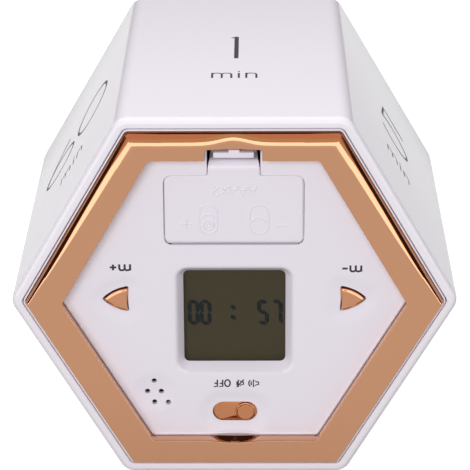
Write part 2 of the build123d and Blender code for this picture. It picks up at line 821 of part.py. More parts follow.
with BuildPart() as battery_box:
    with BuildSketch(facing(panel_back)):
        with Locations((0, cell_height)):
            SlotCenterToCenter(2 * bay_x, 2 * (bay_radius + box_wall))
    extrude(amount=-(box_back - panel_back))
    with BuildSketch(facing(ear_face)):
        with Locations((0, cell_height)):
            Rectangle(2 * (box_boss_x + box_boss_radius), ear_width)
        fillet(vertices(), box_boss_radius)
    extrude(amount=-ear_thickness)
    with BuildSketch(facing(panel_back)):
        with Locations((-bay_x, cell_height), (bay_x, cell_height)):
            Circle(bay_radius)
    extrude(amount=-(bay_floor - panel_back), mode=Mode.SUBTRACT)
    with BuildSketch(facing(bay_floor)):
        with Locations((-bay_x, cell_height - tab_drop), (bay_x, cell_height - tab_drop)):
            Rectangle(tab_width + 2 * fit_gap, contact_thickness + 2 * fit_gap)
    extrude(amount=-box_wall, mode=Mode.SUBTRACT)
    with BuildSketch(facing(ear_face)):
        with Locations((-box_boss_x, cell_height), (box_boss_x, cell_height)):
            Circle(box_screw_radius + fit_gap)
    extrude(amount=-ear_thickness, mode=Mode.SUBTRACT)
    with BuildSketch(Plane.YZ):
        with Locations((panel_face + hinge_depth, axis_height + hinge_height)):
            Circle(hinge_inset + move_gap)
    extrude(amount=door_half_width + move_gap, both=True, mode=Mode.SUBTRACT)

battery_box.part.label = "battery_box"
export_step(battery_box.part, "parts/battery_box.step")

# Battery contacts: a sprung one and a pressed one in the bays, and one that bridges them on the door
wire_radius = 0.3
coil_wide = 3.4
coil_narrow = 2.0
coil_turns = 2
coil_bed_share = 0.8
disc_radius = 4.6
bump_wide = 2.6
bump_narrow = 1.5
door_plate_width = 20.5
door_plate_height = 8.0
contact_start = panel_face + door_thickness
door_coil_height = cell_front - contact_gap - contact_start - contact_thickness
bay_coil_height = spring_room - contact_thickness


def coil(across, depth, height, toward):
    """A conical coil of round wire that stands on a contact plate at a depth."""
    rise = height - 2 * wire_radius
    lean = -degrees(atan2(coil_wide - coil_narrow, rise))
    foot = (across, depth + toward * wire_radius * coil_bed_share, axis_height + cell_height)
    with BuildPart(mode=Mode.PRIVATE) as wound:
        with BuildLine():
            turns = Helix(
                rise / coil_turns,
                rise,
                coil_wide,
                center=foot,
                direction=(0, toward, 0),
                cone_angle=lean,
            )
        with BuildSketch(Plane(origin=turns @ 0, z_dir=turns % 0)):
            Circle(wire_radius)
        sweep(is_frenet=True)
    return wound.part


bay_coil = coil(-bay_x, bay_floor - contact_thickness, bay_coil_height - fit_gap, -1)
door_coil = coil(bay_x, contact_start + contact_thickness, door_coil_height, 1)

with BuildPart() as bay_spring_contact:
    with BuildSketch(facing(bay_floor)):
        with Locations((-bay_x, cell_height)):
            Circle(disc_radius)
    extrude(amount=contact_thickness)
    with BuildSketch(facing(bay_floor)):
        with Locations((-bay_x, cell_height - tab_drop)):
            Rectangle(tab_width, contact_thickness)
    extrude(amount=-(box_wall + tab_proud))
    add(bay_coil)

bay_spring_contact.part.label = "bay_spring_contact"
export_step(bay_spring_contact.part, "parts/bay_spring_contact.step")

with BuildPart() as bay_plate_contact:
    with BuildSketch(facing(bay_floor)):
        with Locations((bay_x, cell_height)):
            Circle(disc_radius)
    extrude(amount=contact_thickness)
    with BuildSketch(facing(bay_floor)):
        with Locations((bay_x, cell_height - tab_drop)):
            Rectangle(tab_width, contact_thickness)
    extrude(amount=-(box_wall + tab_proud))
    with BuildSketch(facing(bay_floor - contact_thickness)):
        with Locations((bay_x, cell_height)):
            Circle(bump_wide)
    with BuildSketch(facing(cell_back + fit_gap)):
        with Locations((bay_x, cell_height)):
            Circle(bump_narrow)
    loft()

bay_plate_contact.part.label = "bay_plate_contact"
export_step(bay_plate_contact.part, "parts/bay_plate_contact.step")

with BuildPart() as door_contact:
    with BuildSketch(facing(contact_start)):
        with Locations((0, cell_height)):
            RectangleRounded(door_plate_width, door_plate_height, bump_narrow)
    extrude(amount=-contact_thickness)
    with BuildSketch(facing(contact_start + contact_thickness)):
        with Locations((-bay_x, cell_height)):
            Circle(bump_wide)
    with BuildSketch(facing(cell_front - contact_gap)):
        with Locations((-bay_x, cell_height)):
            Circle(bump_narrow)
    loft()
    add(door_coil)

door_contact.part.label = "door_contact"
export_step(door_contact.part, "parts/door_contact.step")

# Cells: two AAA cells, the left one with its button to the door, the right one with its flat end there
cell_nub_radius = 1.9
cell_nub_height = 1.0
cell_edge = 0.4

for name, across, nub_depth, body_depth in (
    ("battery_left", -bay_x, cell_front, cell_front + cell_nub_height),
    ("battery_right", bay_x, cell_back, cell_front),
):
    with BuildPart() as cell:
        with BuildSketch(facing(body_depth)):
            with Locations((across, cell_height)):
                Circle(cell_diameter / 2)
        extrude(amount=-(cell_length - cell_nub_height))
        chamfer(edges(), cell_edge)
        with BuildSketch(facing(nub_depth)):
            with Locations((across, cell_height)):
                Circle(cell_nub_radius)
        nub_side = -1 if nub_depth == cell_front else 1
        extrude(amount=nub_side * cell_nub_height)
    cell.part.label = name
    export_step(cell.part, "parts/" + name + ".step")

# Screws: six through the panel's rim, four through the board, two through the battery box's ears
countersink_angle = 82
panel_screw_head_height = (panel_screw_head - panel_screw_radius) / tan(radians(countersink_angle / 2))

with BuildPart() as panel_screws:
    with Locations(facing(panel_face)):
        with PolarLocations(boss_orbit, 6):
            Cone(
                panel_screw_radius,
                panel_screw_head,
                panel_screw_head_height,
                align=(Align.CENTER, Align.CENTER, Align.MAX),
            )
            Cylinder(
                panel_screw_radius,
                panel_thickness + panel_screw_length - over_cut,
                align=(Align.CENTER, Align.CENTER, Align.MAX),
            )

panel_screws.part.label = "panel_screws"
export_step(panel_screws.part, "parts/panel_screws.step")

with BuildPart() as pcb_screws:
    with BuildSketch(facing(pcb_back)):
        with Locations(*post_places):
            Circle(pcb_screw_head)
    extrude(amount=-pcb_screw_head_height)
    chamfer(faces().sort_by(Axis.Y)[-4:].edges(), 2 * fit_gap)
    with BuildSketch(facing(pcb_back)):
        with Locations(*post_places):
            Circle(pcb_screw_radius)
    extrude(amount=pcb_thickness + pcb_screw_length - over_cut)

pcb_screws.part.label = "pcb_screws"
export_step(pcb_screws.part, "parts/pcb_screws.step")

with BuildPart() as box_screws:
    with BuildSketch(facing(ear_face + ear_thickness)):
        with Locations((-box_boss_x, cell_height), (box_boss_x, cell_height)):
            Circle(box_screw_head)
    extrude(amount=-pcb_screw_head_height)
    chamfer(faces().sort_by(Axis.Y)[-2:].edges(), 2 * fit_gap)
    with BuildSketch(facing(ear_face + ear_thickness)):
        with Locations((-box_boss_x, cell_height), (box_boss_x, cell_height)):
            Circle(box_screw_radius)
    extrude(amount=ear_thickness + box_screw_length - over_cut)

box_screws.part.label = "box_screws"
export_step(box_screws.part, "parts/box_screws.step")

# Battery leads: two thin wires from the tabs of the bay contacts, under the battery box, to the board
lead_radius = 0.45
lead_end_height = 2.0
lead_front_run = 5.0
lead_bend = 1.3
lead_start = box_back + tab_proud / 2
lead_top = cell_height - tab_drop - contact_thickness / 2
lead_under = cell_height - bay_radius - box_wall - lead_radius - fit_gap

with BuildPart() as battery_leads:
    for across in (-bay_x, bay_x):
        with BuildLine():
            route = FilletPolyline(
                (across, lead_start, axis_height + lead_top),
                (across, lead_start, axis_height + lead_under),
                (across, pcb_back + lead_front_run, axis_height + lead_under),
                (across, pcb_back + lead_front_run, axis_height + lead_end_height),
                (across, pcb_back, axis_height + lead_end_height),
                radius=lead_bend,
            )
        with BuildSketch(Plane(origin=route @ 0, z_dir=route % 0)):
            Circle(lead_radius)
        sweep(path=route)

battery_leads.part.label = "battery_leads"
export_step(battery_leads.part, "parts/battery_leads.step")
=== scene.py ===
import bmesh
import bpy
import numpy as np
from math import cos, pi, radians, sin
from mathutils import Matrix, Vector


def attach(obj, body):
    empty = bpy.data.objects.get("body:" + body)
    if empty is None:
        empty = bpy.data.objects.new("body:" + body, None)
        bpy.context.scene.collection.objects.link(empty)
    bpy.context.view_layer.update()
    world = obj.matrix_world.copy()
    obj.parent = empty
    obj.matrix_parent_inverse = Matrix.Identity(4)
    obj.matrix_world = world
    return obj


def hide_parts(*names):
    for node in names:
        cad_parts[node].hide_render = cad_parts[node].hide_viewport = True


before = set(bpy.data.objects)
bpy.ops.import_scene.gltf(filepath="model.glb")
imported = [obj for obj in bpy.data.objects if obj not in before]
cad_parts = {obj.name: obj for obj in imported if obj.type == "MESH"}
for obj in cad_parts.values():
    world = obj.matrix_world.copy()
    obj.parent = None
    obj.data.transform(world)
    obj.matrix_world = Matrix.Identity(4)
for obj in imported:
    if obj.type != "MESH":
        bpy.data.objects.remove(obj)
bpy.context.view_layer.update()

# Shell: the white hexagonal cup that holds everything, moulded in glossy ABS in one shot.
# Its long edges are well rounded, its rim is turned over softly, and six bosses in its corners
# take the screws that hold the front panel. Sizes are in millimetres; heights are from the middle.
middle = 36.0
shell_reach, wall = 36.0, 1.9
rim_depth, back_depth = -35.275, 36.725
edge_radius, back_radius, rim_radius = 3.2, 1.6, 1.2
inner_radius, rim_break = 1.3, 0.15
panel_depth, panel_thick = -33.425, 2.2
boss_radius, boss_bore, boss_long, boss_from_corner = 3.4, 1.05, 14.0, 3.57


def hexagon(level, slope, radius, turn_steps=10, places=(0.0,)):
    """A closed hexagon with level top and bottom, as points (x, height). Each corner is an arc of the
    radius through 60 degrees, centred on the corner of the hexagon that is smaller by that radius; between
    arcs come points at the given places along each side, counted from the side's middle."""
    lift, lean = level - radius, slope - radius
    corner = (lean - lift / 2) / cos(pi / 6)
    tip = lean / cos(pi / 6)
    centres = np.array([
        [tip, 0], [corner, lift], [-corner, lift], [-tip, 0], [-corner, -lift], [corner, -lift]
    ])
    turn = np.radians(60 * np.arange(6)[:, None] + np.linspace(-30, 30, turn_steps + 1))
    arcs = centres[:, None] + radius * np.stack([np.cos(turn), np.sin(turn)], -1)
    normal = np.radians(60 * np.arange(6) + 30)[:, None]
    reach = np.array([slope, level, slope, slope, level, slope])[:, None]
    along = np.asarray(places)[None]
    sides = np.stack([
        reach * np.cos(normal) - along * np.sin(normal),
        reach * np.sin(normal) + along * np.cos(normal),
    ], -1)
    return np.concatenate([arcs, sides], 1).reshape(-1, 2)


def circle(x, height, radius, steps=48):
    """A closed circle of points: its centre plus the radius times the cosine and sine of even angles."""
    turn = np.linspace(0, 2 * pi, steps, endpoint=False)
    return np.stack([x + radius * np.cos(turn), height + radius * np.sin(turn)], -1)


def stack(*rings):
    """A grid of points from (outline, depth) rings: row by row each outline at its depth, its first point
    repeated at the end; an outline of one point makes a pole that closes the surface."""
    count = max(len(outline) for outline, depth in rings)
    rows = []
    for outline, depth in rings:
        flat = np.broadcast_to(outline, (count, 2))
        row = np.stack([flat[:, 0], np.broadcast_to(depth, count), flat[:, 1] + middle], -1)
        rows.append(np.concatenate([row, row[:1]]))
    return np.array(rows)


def tube(x, height, outer, inner, front, back):
    """A closed tube along the depth: rings at its outer radius, then back along its bore."""
    wide, narrow = circle(x, height, outer), circle(x, height, inner)
    return stack((wide, front), (wide, back), (narrow, back), (narrow, front), (wide, front))


def grid_faces(rows, columns):
    """Faces of a grid: each joins a point, its neighbour in the row, and the two in the next row."""
    first = (np.arange(rows - 1)[:, None] * columns + np.arange(columns - 1)).ravel()
    return np.stack([first, first + 1, first + columns + 1, first + columns], -1)


def piece(name, surfaces, material, sharp=35):
    """One mesh from grids of points, or from (points, faces) pairs, in millimetres. Doubles are merged,
    which closes seams and poles, faces are turned outwards, and edges past the sharp angle stay creased."""
    points, faces, start = [], [], 0
    for surface in surfaces:
        if isinstance(surface, tuple):
            verts, quads = surface
        else:
            verts, quads = surface.reshape(-1, 3), grid_faces(*surface.shape[:2])
        points.append(verts)
        faces.append(quads + start)
        start += len(verts)
    points, faces = np.concatenate(points) / 1000, np.concatenate(faces)
    mesh = bpy.data.meshes.new(name)
    mesh.vertices.add(len(points))
    mesh.vertices.foreach_set("co", points.astype(np.float32).ravel())
    mesh.loops.add(faces.size)
    mesh.loops.foreach_set("vertex_index", faces.astype(np.int32).ravel())
    mesh.polygons.add(len(faces))
    mesh.polygons.foreach_set("loop_start", np.arange(0, faces.size, 4, dtype=np.int32))
    mesh.update(calc_edges=True)
    made = bmesh.new()
    made.from_mesh(mesh)
    bmesh.ops.remove_doubles(made, verts=made.verts, dist=2e-7)
    bmesh.ops.dissolve_degenerate(made, edges=made.edges, dist=1e-7)
    bmesh.ops.recalc_face_normals(made, faces=made.faces)
    made.to_mesh(mesh)
    made.free()
    mesh.shade_smooth()
    mesh.set_sharp_from_angle(angle=radians(sharp))
    mesh.materials.append(material)
    thing = bpy.data.objects.new(name, mesh)
    bpy.context.scene.collection.objects.link(thing)
    return thing


def finish(name, colour, roughness, patch, shift, grain, relief, metallic=0.0, **sockets):
    """A finish from two noises on Object coordinates: the wide one, patch to the metre, moves the colour by
    a share of shift and the roughness by three times that share, and the fine one, grain to the metre, is a
    bump of that relief in metres."""
    material = bpy.data.materials.new(name)
    material.use_nodes = True
    tree = material.node_tree
    shader = tree.nodes["Principled BSDF"]
    place = tree.nodes.new("ShaderNodeTexCoord")
    wide = tree.nodes.new("ShaderNodeTexNoise")
    wide.inputs["Scale"].default_value = patch
    wide.inputs["Detail"].default_value = 3
    fine = tree.nodes.new("ShaderNodeTexNoise")
    fine.inputs["Scale"].default_value = grain
    fine.inputs["Detail"].default_value = 2
    tint = tree.nodes.new("ShaderNodeMix")
    tint.data_type = "RGBA"
    light = np.array(colour, float)
    tint.inputs["A"].default_value = (*(light * (1 - shift)), 1)
    tint.inputs["B"].default_value = (*np.minimum(light * (1 + shift), 1), 1)
    rough = tree.nodes.new("ShaderNodeMapRange")
    rough.inputs["To Min"].default_value = roughness * (1 - 3 * shift)
    rough.inputs["To Max"].default_value = roughness * (1 + 3 * shift)
    bump = tree.nodes.new("ShaderNodeBump")
    bump.inputs["Distance"].default_value = relief
    for source in (wide, fine):
        tree.links.new(place.outputs["Object"], source.inputs["Vector"])
    tree.links.new(wide.outputs["Fac"], tint.inputs["Factor"])
    tree.links.new(wide.outputs["Fac"], rough.inputs["Value"])
    tree.links.new(fine.outputs["Fac"], bump.inputs["Height"])
    tree.links.new(tint.outputs["Result"], shader.inputs["Base Color"])
    tree.links.new(rough.outputs["Result"], shader.inputs["Roughness"])
    tree.links.new(bump.outputs["Normal"], shader.inputs["Normal"])
    shader.inputs["Metallic"].default_value = metallic
    for socket, value in sockets.items():
        shader.inputs[socket.replace("_", " ")].default_value = value
    return material


def tone(red, green, blue):
    """The linear colour of an sRGB colour given in 0 to 255."""
    share = np.array([red, green, blue]) / 255
    return tuple(np.where(share < 0.04045, share / 12.92, ((share + 0.055) / 1.055) ** 2.4))


white_gloss = finish(
    "white gloss shell", tone(240, 235, 243), 0.16,
    patch=14, shift=0.012, grain=500, relief=3e-7,
)
roll = np.linspace(0, pi / 2, 9)
shell_rings = [(np.zeros((1, 2)), back_depth)]
shell_rings += [
    (
        hexagon(*[shell_reach - back_radius * (1 - sin(a))] * 2, edge_radius - back_radius * (1 - sin(a))),
        back_depth - back_radius * (1 - cos(a)),
    )
    for a in roll
]
shell_rings += [
    (
        hexagon(*[shell_reach - rim_radius * (1 - cos(a))] * 2, edge_radius - rim_radius * (1 - cos(a))),
        rim_depth + rim_radius * (1 - sin(a)),
    )
    for a in roll
]
inner_reach = shell_reach - wall
shell_rings += [
    (hexagon(inner_reach + rim_break, inner_reach + rim_break, inner_radius + rim_break), rim_depth),
    (hexagon(inner_reach, inner_reach, inner_radius), rim_depth + rim_break),
    (hexagon(inner_reach, inner_reach, inner_radius), back_depth - wall),
    (np.zeros((1, 2)), back_depth - wall),
]
rear = panel_depth + panel_thick
boss_orbit = inner_reach / cos(pi / 6) - boss_from_corner
corners = [(boss_orbit * cos(radians(a)), boss_orbit * sin(radians(a))) for a in range(0, 360, 60)]
bosses = [tube(x, h, boss_radius, boss_bore, rear, rear + boss_long) for x, h in corners]
shell = piece("shell_body", [stack(*shell_rings), *bosses], white_gloss)
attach(shell, "housing")
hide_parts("shell")

# Trim ring: a moulded hexagonal ring plated in rose gold, polished to a mirror. Its outer edge slopes
# back to the shell's rim, its face dips behind the finger notch at the top, and its lower bar is
# bitten away under the switch. Five pins on its back go into the panel.
ring_depth, ring_reach, ring_corner = -36.725, 33.56, 0.9
opening_level, opening_slope, opening_corner = 28.37, 27.56, 1.1
bar_height = 20
bevel_foot, bevel_least, bevel_growth = -35.15, 0.25, 0.053
bevel_crown, bevel_meet = 0.02, 0.3
foot_wide, foot_steep, lip = 0.4, 0.35, 0.15
crease_least, crease_growth, crease_high = 0.8, 0.05, 31
notch_half, notch_rise, notch_turn = 5.2, 2.13, 0.5
scoop_half, scoop_deep, scoop_fall = 4.5, 0.62, 1.6
bite_half, bite_deep = 4.6, 0.35
wall_tall, wall_straight, wall_lean = panel_depth - ring_depth, 3.0, 0.13
chamfer_start, chamfer, undercut, wall_foot = 0.05, radians(50), 0.435, 0.45
ring_pin, pin_sunk, pin_play = 0.8, 1.8, 0.06


def gap_to(points, outline, reach=4.0):
    """Signed distance from each point to a closed outline, positive outside it, and the nearest place on
    it. Points further than the reach from the outline's box are only given the reach."""
    low, high = outline.min(0) - reach, outline.max(0) + reach
    near = np.all((points > low) & (points < high), axis=1)
    some = points[near]
    start, end = outline, np.roll(outline, -1, axis=0)
    run = end - start
    share = ((some[:, None] - start) * run).sum(-1) / np.maximum((run**2).sum(-1), 1e-12)
    foot = start + np.clip(share, 0, 1)[..., None] * run
    far = np.linalg.norm(some[:, None] - foot, axis=-1)
    pick = far.argmin(1)
    row = np.arange(len(some))
    up = some[:, None, 1]
    over = (start[:, 1] > up) != (end[:, 1] > up)
    cross_x = start[:, 0] + (up - start[:, 1]) * run[:, 0] / np.where(run[:, 1] == 0, 1, run[:, 1])
    inside = (over & (some[:, None, 0] < cross_x)).sum(1) % 2 == 1
    gap, place = np.full(len(points), reach), points.copy()
    gap[near] = np.where(inside, -1, 1) * far[row, pick]
    place[near] = foot[row, pick]
    return gap, place


def bite_share(x, height):
    """The bite's depth as a share of its greatest, on the lower bar: the height of a circle's arc."""
    bend = (bite_half**2 + bite_deep**2) / (2 * bite_deep)
    arch = np.sqrt(np.maximum(bend**2 - x**2, 0)) - (bend - bite_deep)
    return np.where((height < -bar_height) & (np.abs(x) < bite_half), arch / bite_deep, 0)


def ring_surface():
    """A closed profile carried round the hexagon. The opening's edge is raised at the top by the notch,
    whose corners are quarter circles, and lowered at the bottom by the bite, an arc of a circle. Across
    the bar the front is the greater depth of the sloping bevel, slightly crowned, and the flat face, joined
    with a soft corner, and the face dips behind the notch by a bell of x. The bevel is widest along the top
    bar, narrows with the height down the sides, and turns its corners softly, as the logarithm of summed
    exponentials of the six slopes; at its foot it drops away more steeply. The inner edge is turned over
    by a quarter circle. The inner wall leans back, and the bite is a chamfer over an undercut that meets
    the rest of the wall at its foot."""
    corner = notch_half - notch_turn + notch_turn * np.sin(np.linspace(0, pi / 2, 9)[1:-1])
    beside = notch_half + np.array([-0.0001, 0.0001, 0.04, 0.09, 0.15, 0.22, 0.3, 0.42])
    level, along = np.linspace(0.2, notch_half - notch_turn, 24), np.linspace(5.9, 13, 16)
    right = np.concatenate([level, corner, beside, along])
    places = np.concatenate([-right[::-1], [0], right])
    inner = hexagon(opening_level, opening_slope, opening_corner, 10, places)
    outer = hexagon(ring_reach, ring_reach, ring_corner, 10, places)
    x = inner[:, 0]
    top = (inner[:, 1] > bar_height) & (np.abs(x) < notch_half)
    past = np.maximum(np.abs(x) - notch_half + notch_turn, 0)
    notch = np.where(top, notch_rise - notch_turn + np.sqrt(np.maximum(notch_turn**2 - past**2, 0)), 0)
    bite = bite_share(x, inner[:, 1])
    inner[:, 1] += notch - bite_deep * bite
    around_notch = inner[(inner[:, 1] > bar_height) & (np.abs(x) < notch_half + 2)]
    around_notch = around_notch[np.argsort(around_notch[:, 0])]
    bell = np.clip(inner[:, 1] - bar_height, 0, 1) * np.exp(-((x / scoop_half) ** 2) * scoop_fall)
    span = np.linalg.norm(outer - inner, axis=1)
    near = [np.full(len(x), d) for d in (0, 0.006, 0.02, 0.045, 0.08, 0.115, 0.15, 0.22, 0.35)]
    between = [0.5 + (span - 1.2) * share for share in np.linspace(0, 1, 44)]
    far = [span - share * foot_wide for share in (1.05, 1, 0.8, 0.5, 0.2, 0)]
    facing = np.array([[cos(a), sin(a)] for a in np.radians(np.arange(30, 390, 60))]).T
    rows = []
    for distance in near + between + far:
        here = inner + (outer - inner) * (distance / span)[:, None]
        wide = bevel_least + bevel_growth * np.clip(here[:, 1], 0, None)
        share = (ring_reach - here @ facing) / wide[:, None]
        climb = (ring_depth - bevel_foot) * share - 4 * bevel_crown * np.clip(share * (1 - share), 0, 1)
        slope = bevel_foot + bevel_meet * np.log(np.exp(climb / bevel_meet).sum(1))
        face = ring_depth + scoop_deep * bell
        soft = crease_least + crease_growth * np.clip(crease_high - here[:, 1], 0, crease_high)
        front = np.maximum(slope, face) + soft / 4 * np.clip(1 - np.abs(slope - face) / soft, 0, 1) ** 2
        inside = np.minimum(distance, np.abs(gap_to(here, around_notch, 1.0)[0]))
        front = front + lip * (1 - np.sqrt(1 - np.clip(1 - inside / lip, 0, 1) ** 2))
        front = front + foot_steep * np.clip(foot_wide - span + distance, 0, 1)
        rows.append(np.stack([here[:, 0], front, here[:, 1] + middle], -1))
    rows.append(np.stack([outer[:, 0], np.full(len(x), panel_depth), outer[:, 1] + middle], -1))
    share = np.linspace(0, 1, 5)[:, None]
    start = chamfer_start + (wall_straight - chamfer_start) * (1 - bite)
    drop = bite_deep * bite + wall_lean * start
    climb = (drop + undercut * (wall_tall - start) - wall_foot) / (cos(chamfer) + undercut * sin(chamfer))
    back = start + sin(chamfer) * climb
    deep = np.concatenate([
        start * share,
        start + (back - start) * share,
        back + (wall_tall - back) * share,
    ])
    fall = np.concatenate([
        bite_deep * bite + wall_lean * start * share,
        drop - cos(chamfer) * climb * share,
        drop - cos(chamfer) * climb + undercut * (wall_tall - back) * share,
    ])
    straight = int(np.argmin(bite))
    edge_depth = rows[0][:, 1]
    for down, low in zip(deep[::-1], fall[::-1]):
        lower = low[straight]
        here = hexagon(opening_level + lower, opening_slope + lower, opening_corner, 10, places)
        height = here[:, 1] + notch - np.where(bite > 0, low - lower, 0)
        depth = edge_depth + (panel_depth - edge_depth) * down / wall_tall
        rows.append(np.stack([here[:, 0], depth, height + middle], -1))
    grid = np.array(rows)
    return np.concatenate([grid, grid[:, :1]], axis=1)


plating = finish(
    "rose gold plating", tone(201, 149, 115), 0.085,
    patch=60, shift=0.02, grain=260, relief=5e-7, metallic=1.0,
)
pin_reach = (ring_reach + opening_level) / 2
pin_places = [(pin_reach * cos(a), pin_reach * sin(a)) for a in np.radians(150 + 60 * np.arange(5))]
pins = []
for place in pin_places:
    pole, around = np.array([place]), circle(*place, ring_pin, 20)
    front, back = panel_depth - 1, panel_depth + pin_sunk
    pins.append(stack((pole, front), (around, front), (around, back), (pole, back)))
ring = piece("trim_ring_plated", [ring_surface(), *pins], plating, sharp=50)
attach(ring, "housing")
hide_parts("trim_ring")

# Front panel: the white plate inside the ring, moulded in the same ABS with a finer gloss. The window's
# bevel and the shallow dishes round the buttons, the switch and the sound holes blend softly into it.
# On its back it carries the window's frame, the posts for the board and the bosses for the battery box.
panel_reach, panel_corner, panel_lip, panel_step = 33.92, 1.3, 0.1, 0.36
rim_play, rim_crest, rim_sunk = 0.04, -35.27, 0.05
door_half, door_low, door_high, door_corner = 12.75, 10.7, 24.2, 1.4
door_gap, foot_gap = 0.09, 0.15
neck_half, neck_fillet, recess_high = 4.75, 0.5, 30.2
window_half, window_high, window_low, window_corner = 9.5, 4.63, -14.12, 1.0
window_bevel, window_sunk, window_curve = 1.5, 2.0, 1.15
slot_middle, slot_half, slot_radius = -24.0, 4.2, 2.0
sound_x, sound_height, sound_pitch, sound_radius = -15.2, -19.7, 2.6, 0.5
cap_inner, cap_tip, cap_half, cap_level = 19.75, 24.15, 2.25, -0.4
flank_bulge, back_bulge, cap_corner, cap_play = 0.5, 0.18, 0.35, 0.2
cap_dish_reach, cap_dish_wide, cap_dish_deep = 3.1, 2.7, 0.28
slot_dish_reach, slot_dish_wide, slot_dish_deep = 3.2, 2.9, 0.36
bowl_deep, bowl_spread, bowl_soft, bowl_end, bowl_blend = 0.35, 46, 0.004, 4.6, 0.8
lip_pocket, lip_room = 2.02, 1.3
plate_pocket, plate_room, plate_rise = 0.64, 9.2, 3.6
gauze_pocket, gauze_room = 1.1, 3.9
pin_pocket, pin_near, pin_far, pin_height, pin_rise = 0.4, 11.5, 14.6, 11.7, 1.9
screw_hole = 2.25
post_radius, post_bore, post_long = 1.8, 0.95, 6.4


def rounded(x, height, half_width, half_height, radius, steps=6):
    """A closed rectangle with round corners: four quarter circles about its inner corners."""
    turn = np.radians(90 * np.arange(4)[:, None] + np.linspace(0, 90, steps + 1))
    side = np.array([[1, 1], [-1, 1], [-1, -1], [1, -1]])
    middles = side * (np.array([half_width, half_height]) - radius) + (x, height)
    return (middles[:, None] + radius * np.stack([np.cos(turn), np.sin(turn)], -1)).reshape(-1, 2)


def even_run(points, step, closed):
    """Points in even steps along the straight lines between the given ones, without the last if closed."""
    far = np.concatenate([[0], np.cumsum(np.linalg.norm(np.diff(points, axis=0), axis=1))])
    even = np.linspace(0, far[-1], max(int(far[-1] / step), 4), endpoint=not closed)
    return np.stack([np.interp(even, far, points[:, axis]) for axis in (0, 1)], -1)


def averaged(points, width):
    """Each point's mean with that many neighbours on both sides; the run gets shorter by them."""
    kernel = np.ones(2 * width + 1) / (2 * width + 1)
    return np.stack([np.convolve(points[:, axis], kernel, "valid") for axis in (0, 1)], -1)


def soften(outline, reach):
    """The closed outline laid out in even steps and averaged over the reach, which rounds its corners."""
    step = 0.08
    points = even_run(np.concatenate([outline, outline[:1]]), step, True)
    width = max(int(reach / step), 1)
    return averaged(np.concatenate([points[-width:], points, points[:width]]), width)


def cap_outline(side, grow):
    """A button's outline: a triangle with bulging flanks and a nearly straight inner side, grown all round
    by a margin and softened at its corners."""
    run = cap_tip - cap_inner
    flank = np.hypot(run, cap_half)
    inner, tip = cap_inner - grow, cap_tip + grow * flank / cap_half
    half = cap_half + grow * (flank + cap_half) / run
    share = np.linspace(0, 1, 24, endpoint=False)[:, None]
    bow = 4 * share * (1 - share)
    start, end, low = np.array([inner, half]), np.array([tip, 0]), np.array([inner, -half])
    out = np.array([cap_half, run]) / flank
    upper = start + (end - start) * share + flank_bulge * bow * out
    lower = end + (low - end) * share + flank_bulge * bow * out * (1, -1)
    back = low + (start - low) * share + back_bulge * bow * (1, 0)
    rounded_off = soften(np.concatenate([upper, lower, back]), cap_corner + grow / 2)
    return rounded_off[::2] * (side, 1) + (0, cap_level)


def plate(step, edge, holes, front, back, lip):
    """A plate as two height fields on one square grid of that step. Cells whose middle is outside the edge
    or inside a hole are left out; the points along the cut move onto the outline, the front ones stopping a
    lip short of it, and a wall joins the two sheets, with the lip turned over at its front."""
    low, high = edge.min(0) - step, edge.max(0) + step
    columns, rows = (np.ceil((high - low) / step).astype(int) + 1).tolist()
    x, h = np.meshgrid(low[0] + step * np.arange(columns), low[1] + step * np.arange(rows))
    points = np.stack([x.ravel(), h.ravel()], -1)
    faces = grid_faces(rows, columns)
    centres = points[faces].mean(1)
    keep = gap_to(centres, edge, 1.0)[0] < 0
    for hole in holes:
        keep &= gap_to(centres, hole, 1.0)[0] > 0
    kept = faces[keep]
    cut = np.intersect1d(kept, faces[~keep])
    nearest, place = np.full(len(cut), 9.0), points[cut].copy()
    for outline in (edge, *holes):
        gap, foot = gap_to(points[cut], outline, 1.0)
        closer = np.abs(gap) < nearest
        nearest[closer] = np.abs(gap[closer])
        place[closer] = foot[closer]
    rim = points.copy()
    rim[cut] = place
    ends = np.stack([kept, np.roll(kept, -1, axis=1)], -1).reshape(-1, 2)
    codes = np.sort(ends, axis=1) @ np.array([len(points), 1])
    first, times = np.unique(codes, return_index=True, return_counts=True)[1:]
    border = ends[first[times == 1]]
    normal = np.zeros_like(points)
    run = rim[border[:, 1]] - rim[border[:, 0]]
    outward = np.stack([run[:, 1], -run[:, 0]], -1)
    np.add.at(normal, border[:, 0], outward)
    np.add.at(normal, border[:, 1], outward)
    normal /= np.maximum(np.linalg.norm(normal, axis=1), 1e-9)[:, None]
    top = rim - lip * normal
    deep = front(top[:, 0], top[:, 1])
    turned = front(rim[:, 0], rim[:, 1]) + lip
    far = back(rim[:, 0], rim[:, 1])
    turned = np.minimum(turned, far)

    def lay(flat, depth):
        return np.stack([flat[:, 0], depth, flat[:, 1] + middle], -1)

    count = len(points)
    verts = np.concatenate([lay(top, deep), lay(rim, turned), lay(rim, far)])
    a, b = border[:, 0], border[:, 1]
    walls = [np.stack([a + i, b + i, b + i + count, a + i + count], -1) for i in (0, count)]
    quads = np.concatenate([kept, kept[:, ::-1] + 2 * count, *walls])
    used, packed = np.unique(quads, return_inverse=True)
    return verts[used], packed.reshape(quads.shape)


def ease(value):
    """A smooth step from 0 to 1: three times the square less twice the cube of the clipped value."""
    value = np.clip(value, 0, 1)
    return value * value * (3 - 2 * value)


window_height = (window_high + window_low) / 2
window_tall = (window_high - window_low) / 2
window_edge = rounded(0, window_height, window_half, window_tall, window_corner)
slot_edge = rounded(0, slot_middle, slot_half, slot_radius, slot_radius - 0.001, 14)
caps = [cap_outline(side, 0.0) for side in (-1, 1)]
sound_row = sound_pitch * sin(radians(60))
sound_holes = [
    circle(sound_x + across * sound_pitch, sound_height + up * sound_row, sound_radius, 16)
    for across, up in ((0, 1), (-0.5, 0), (0.5, 0), (0, -1), (1, -1))
]


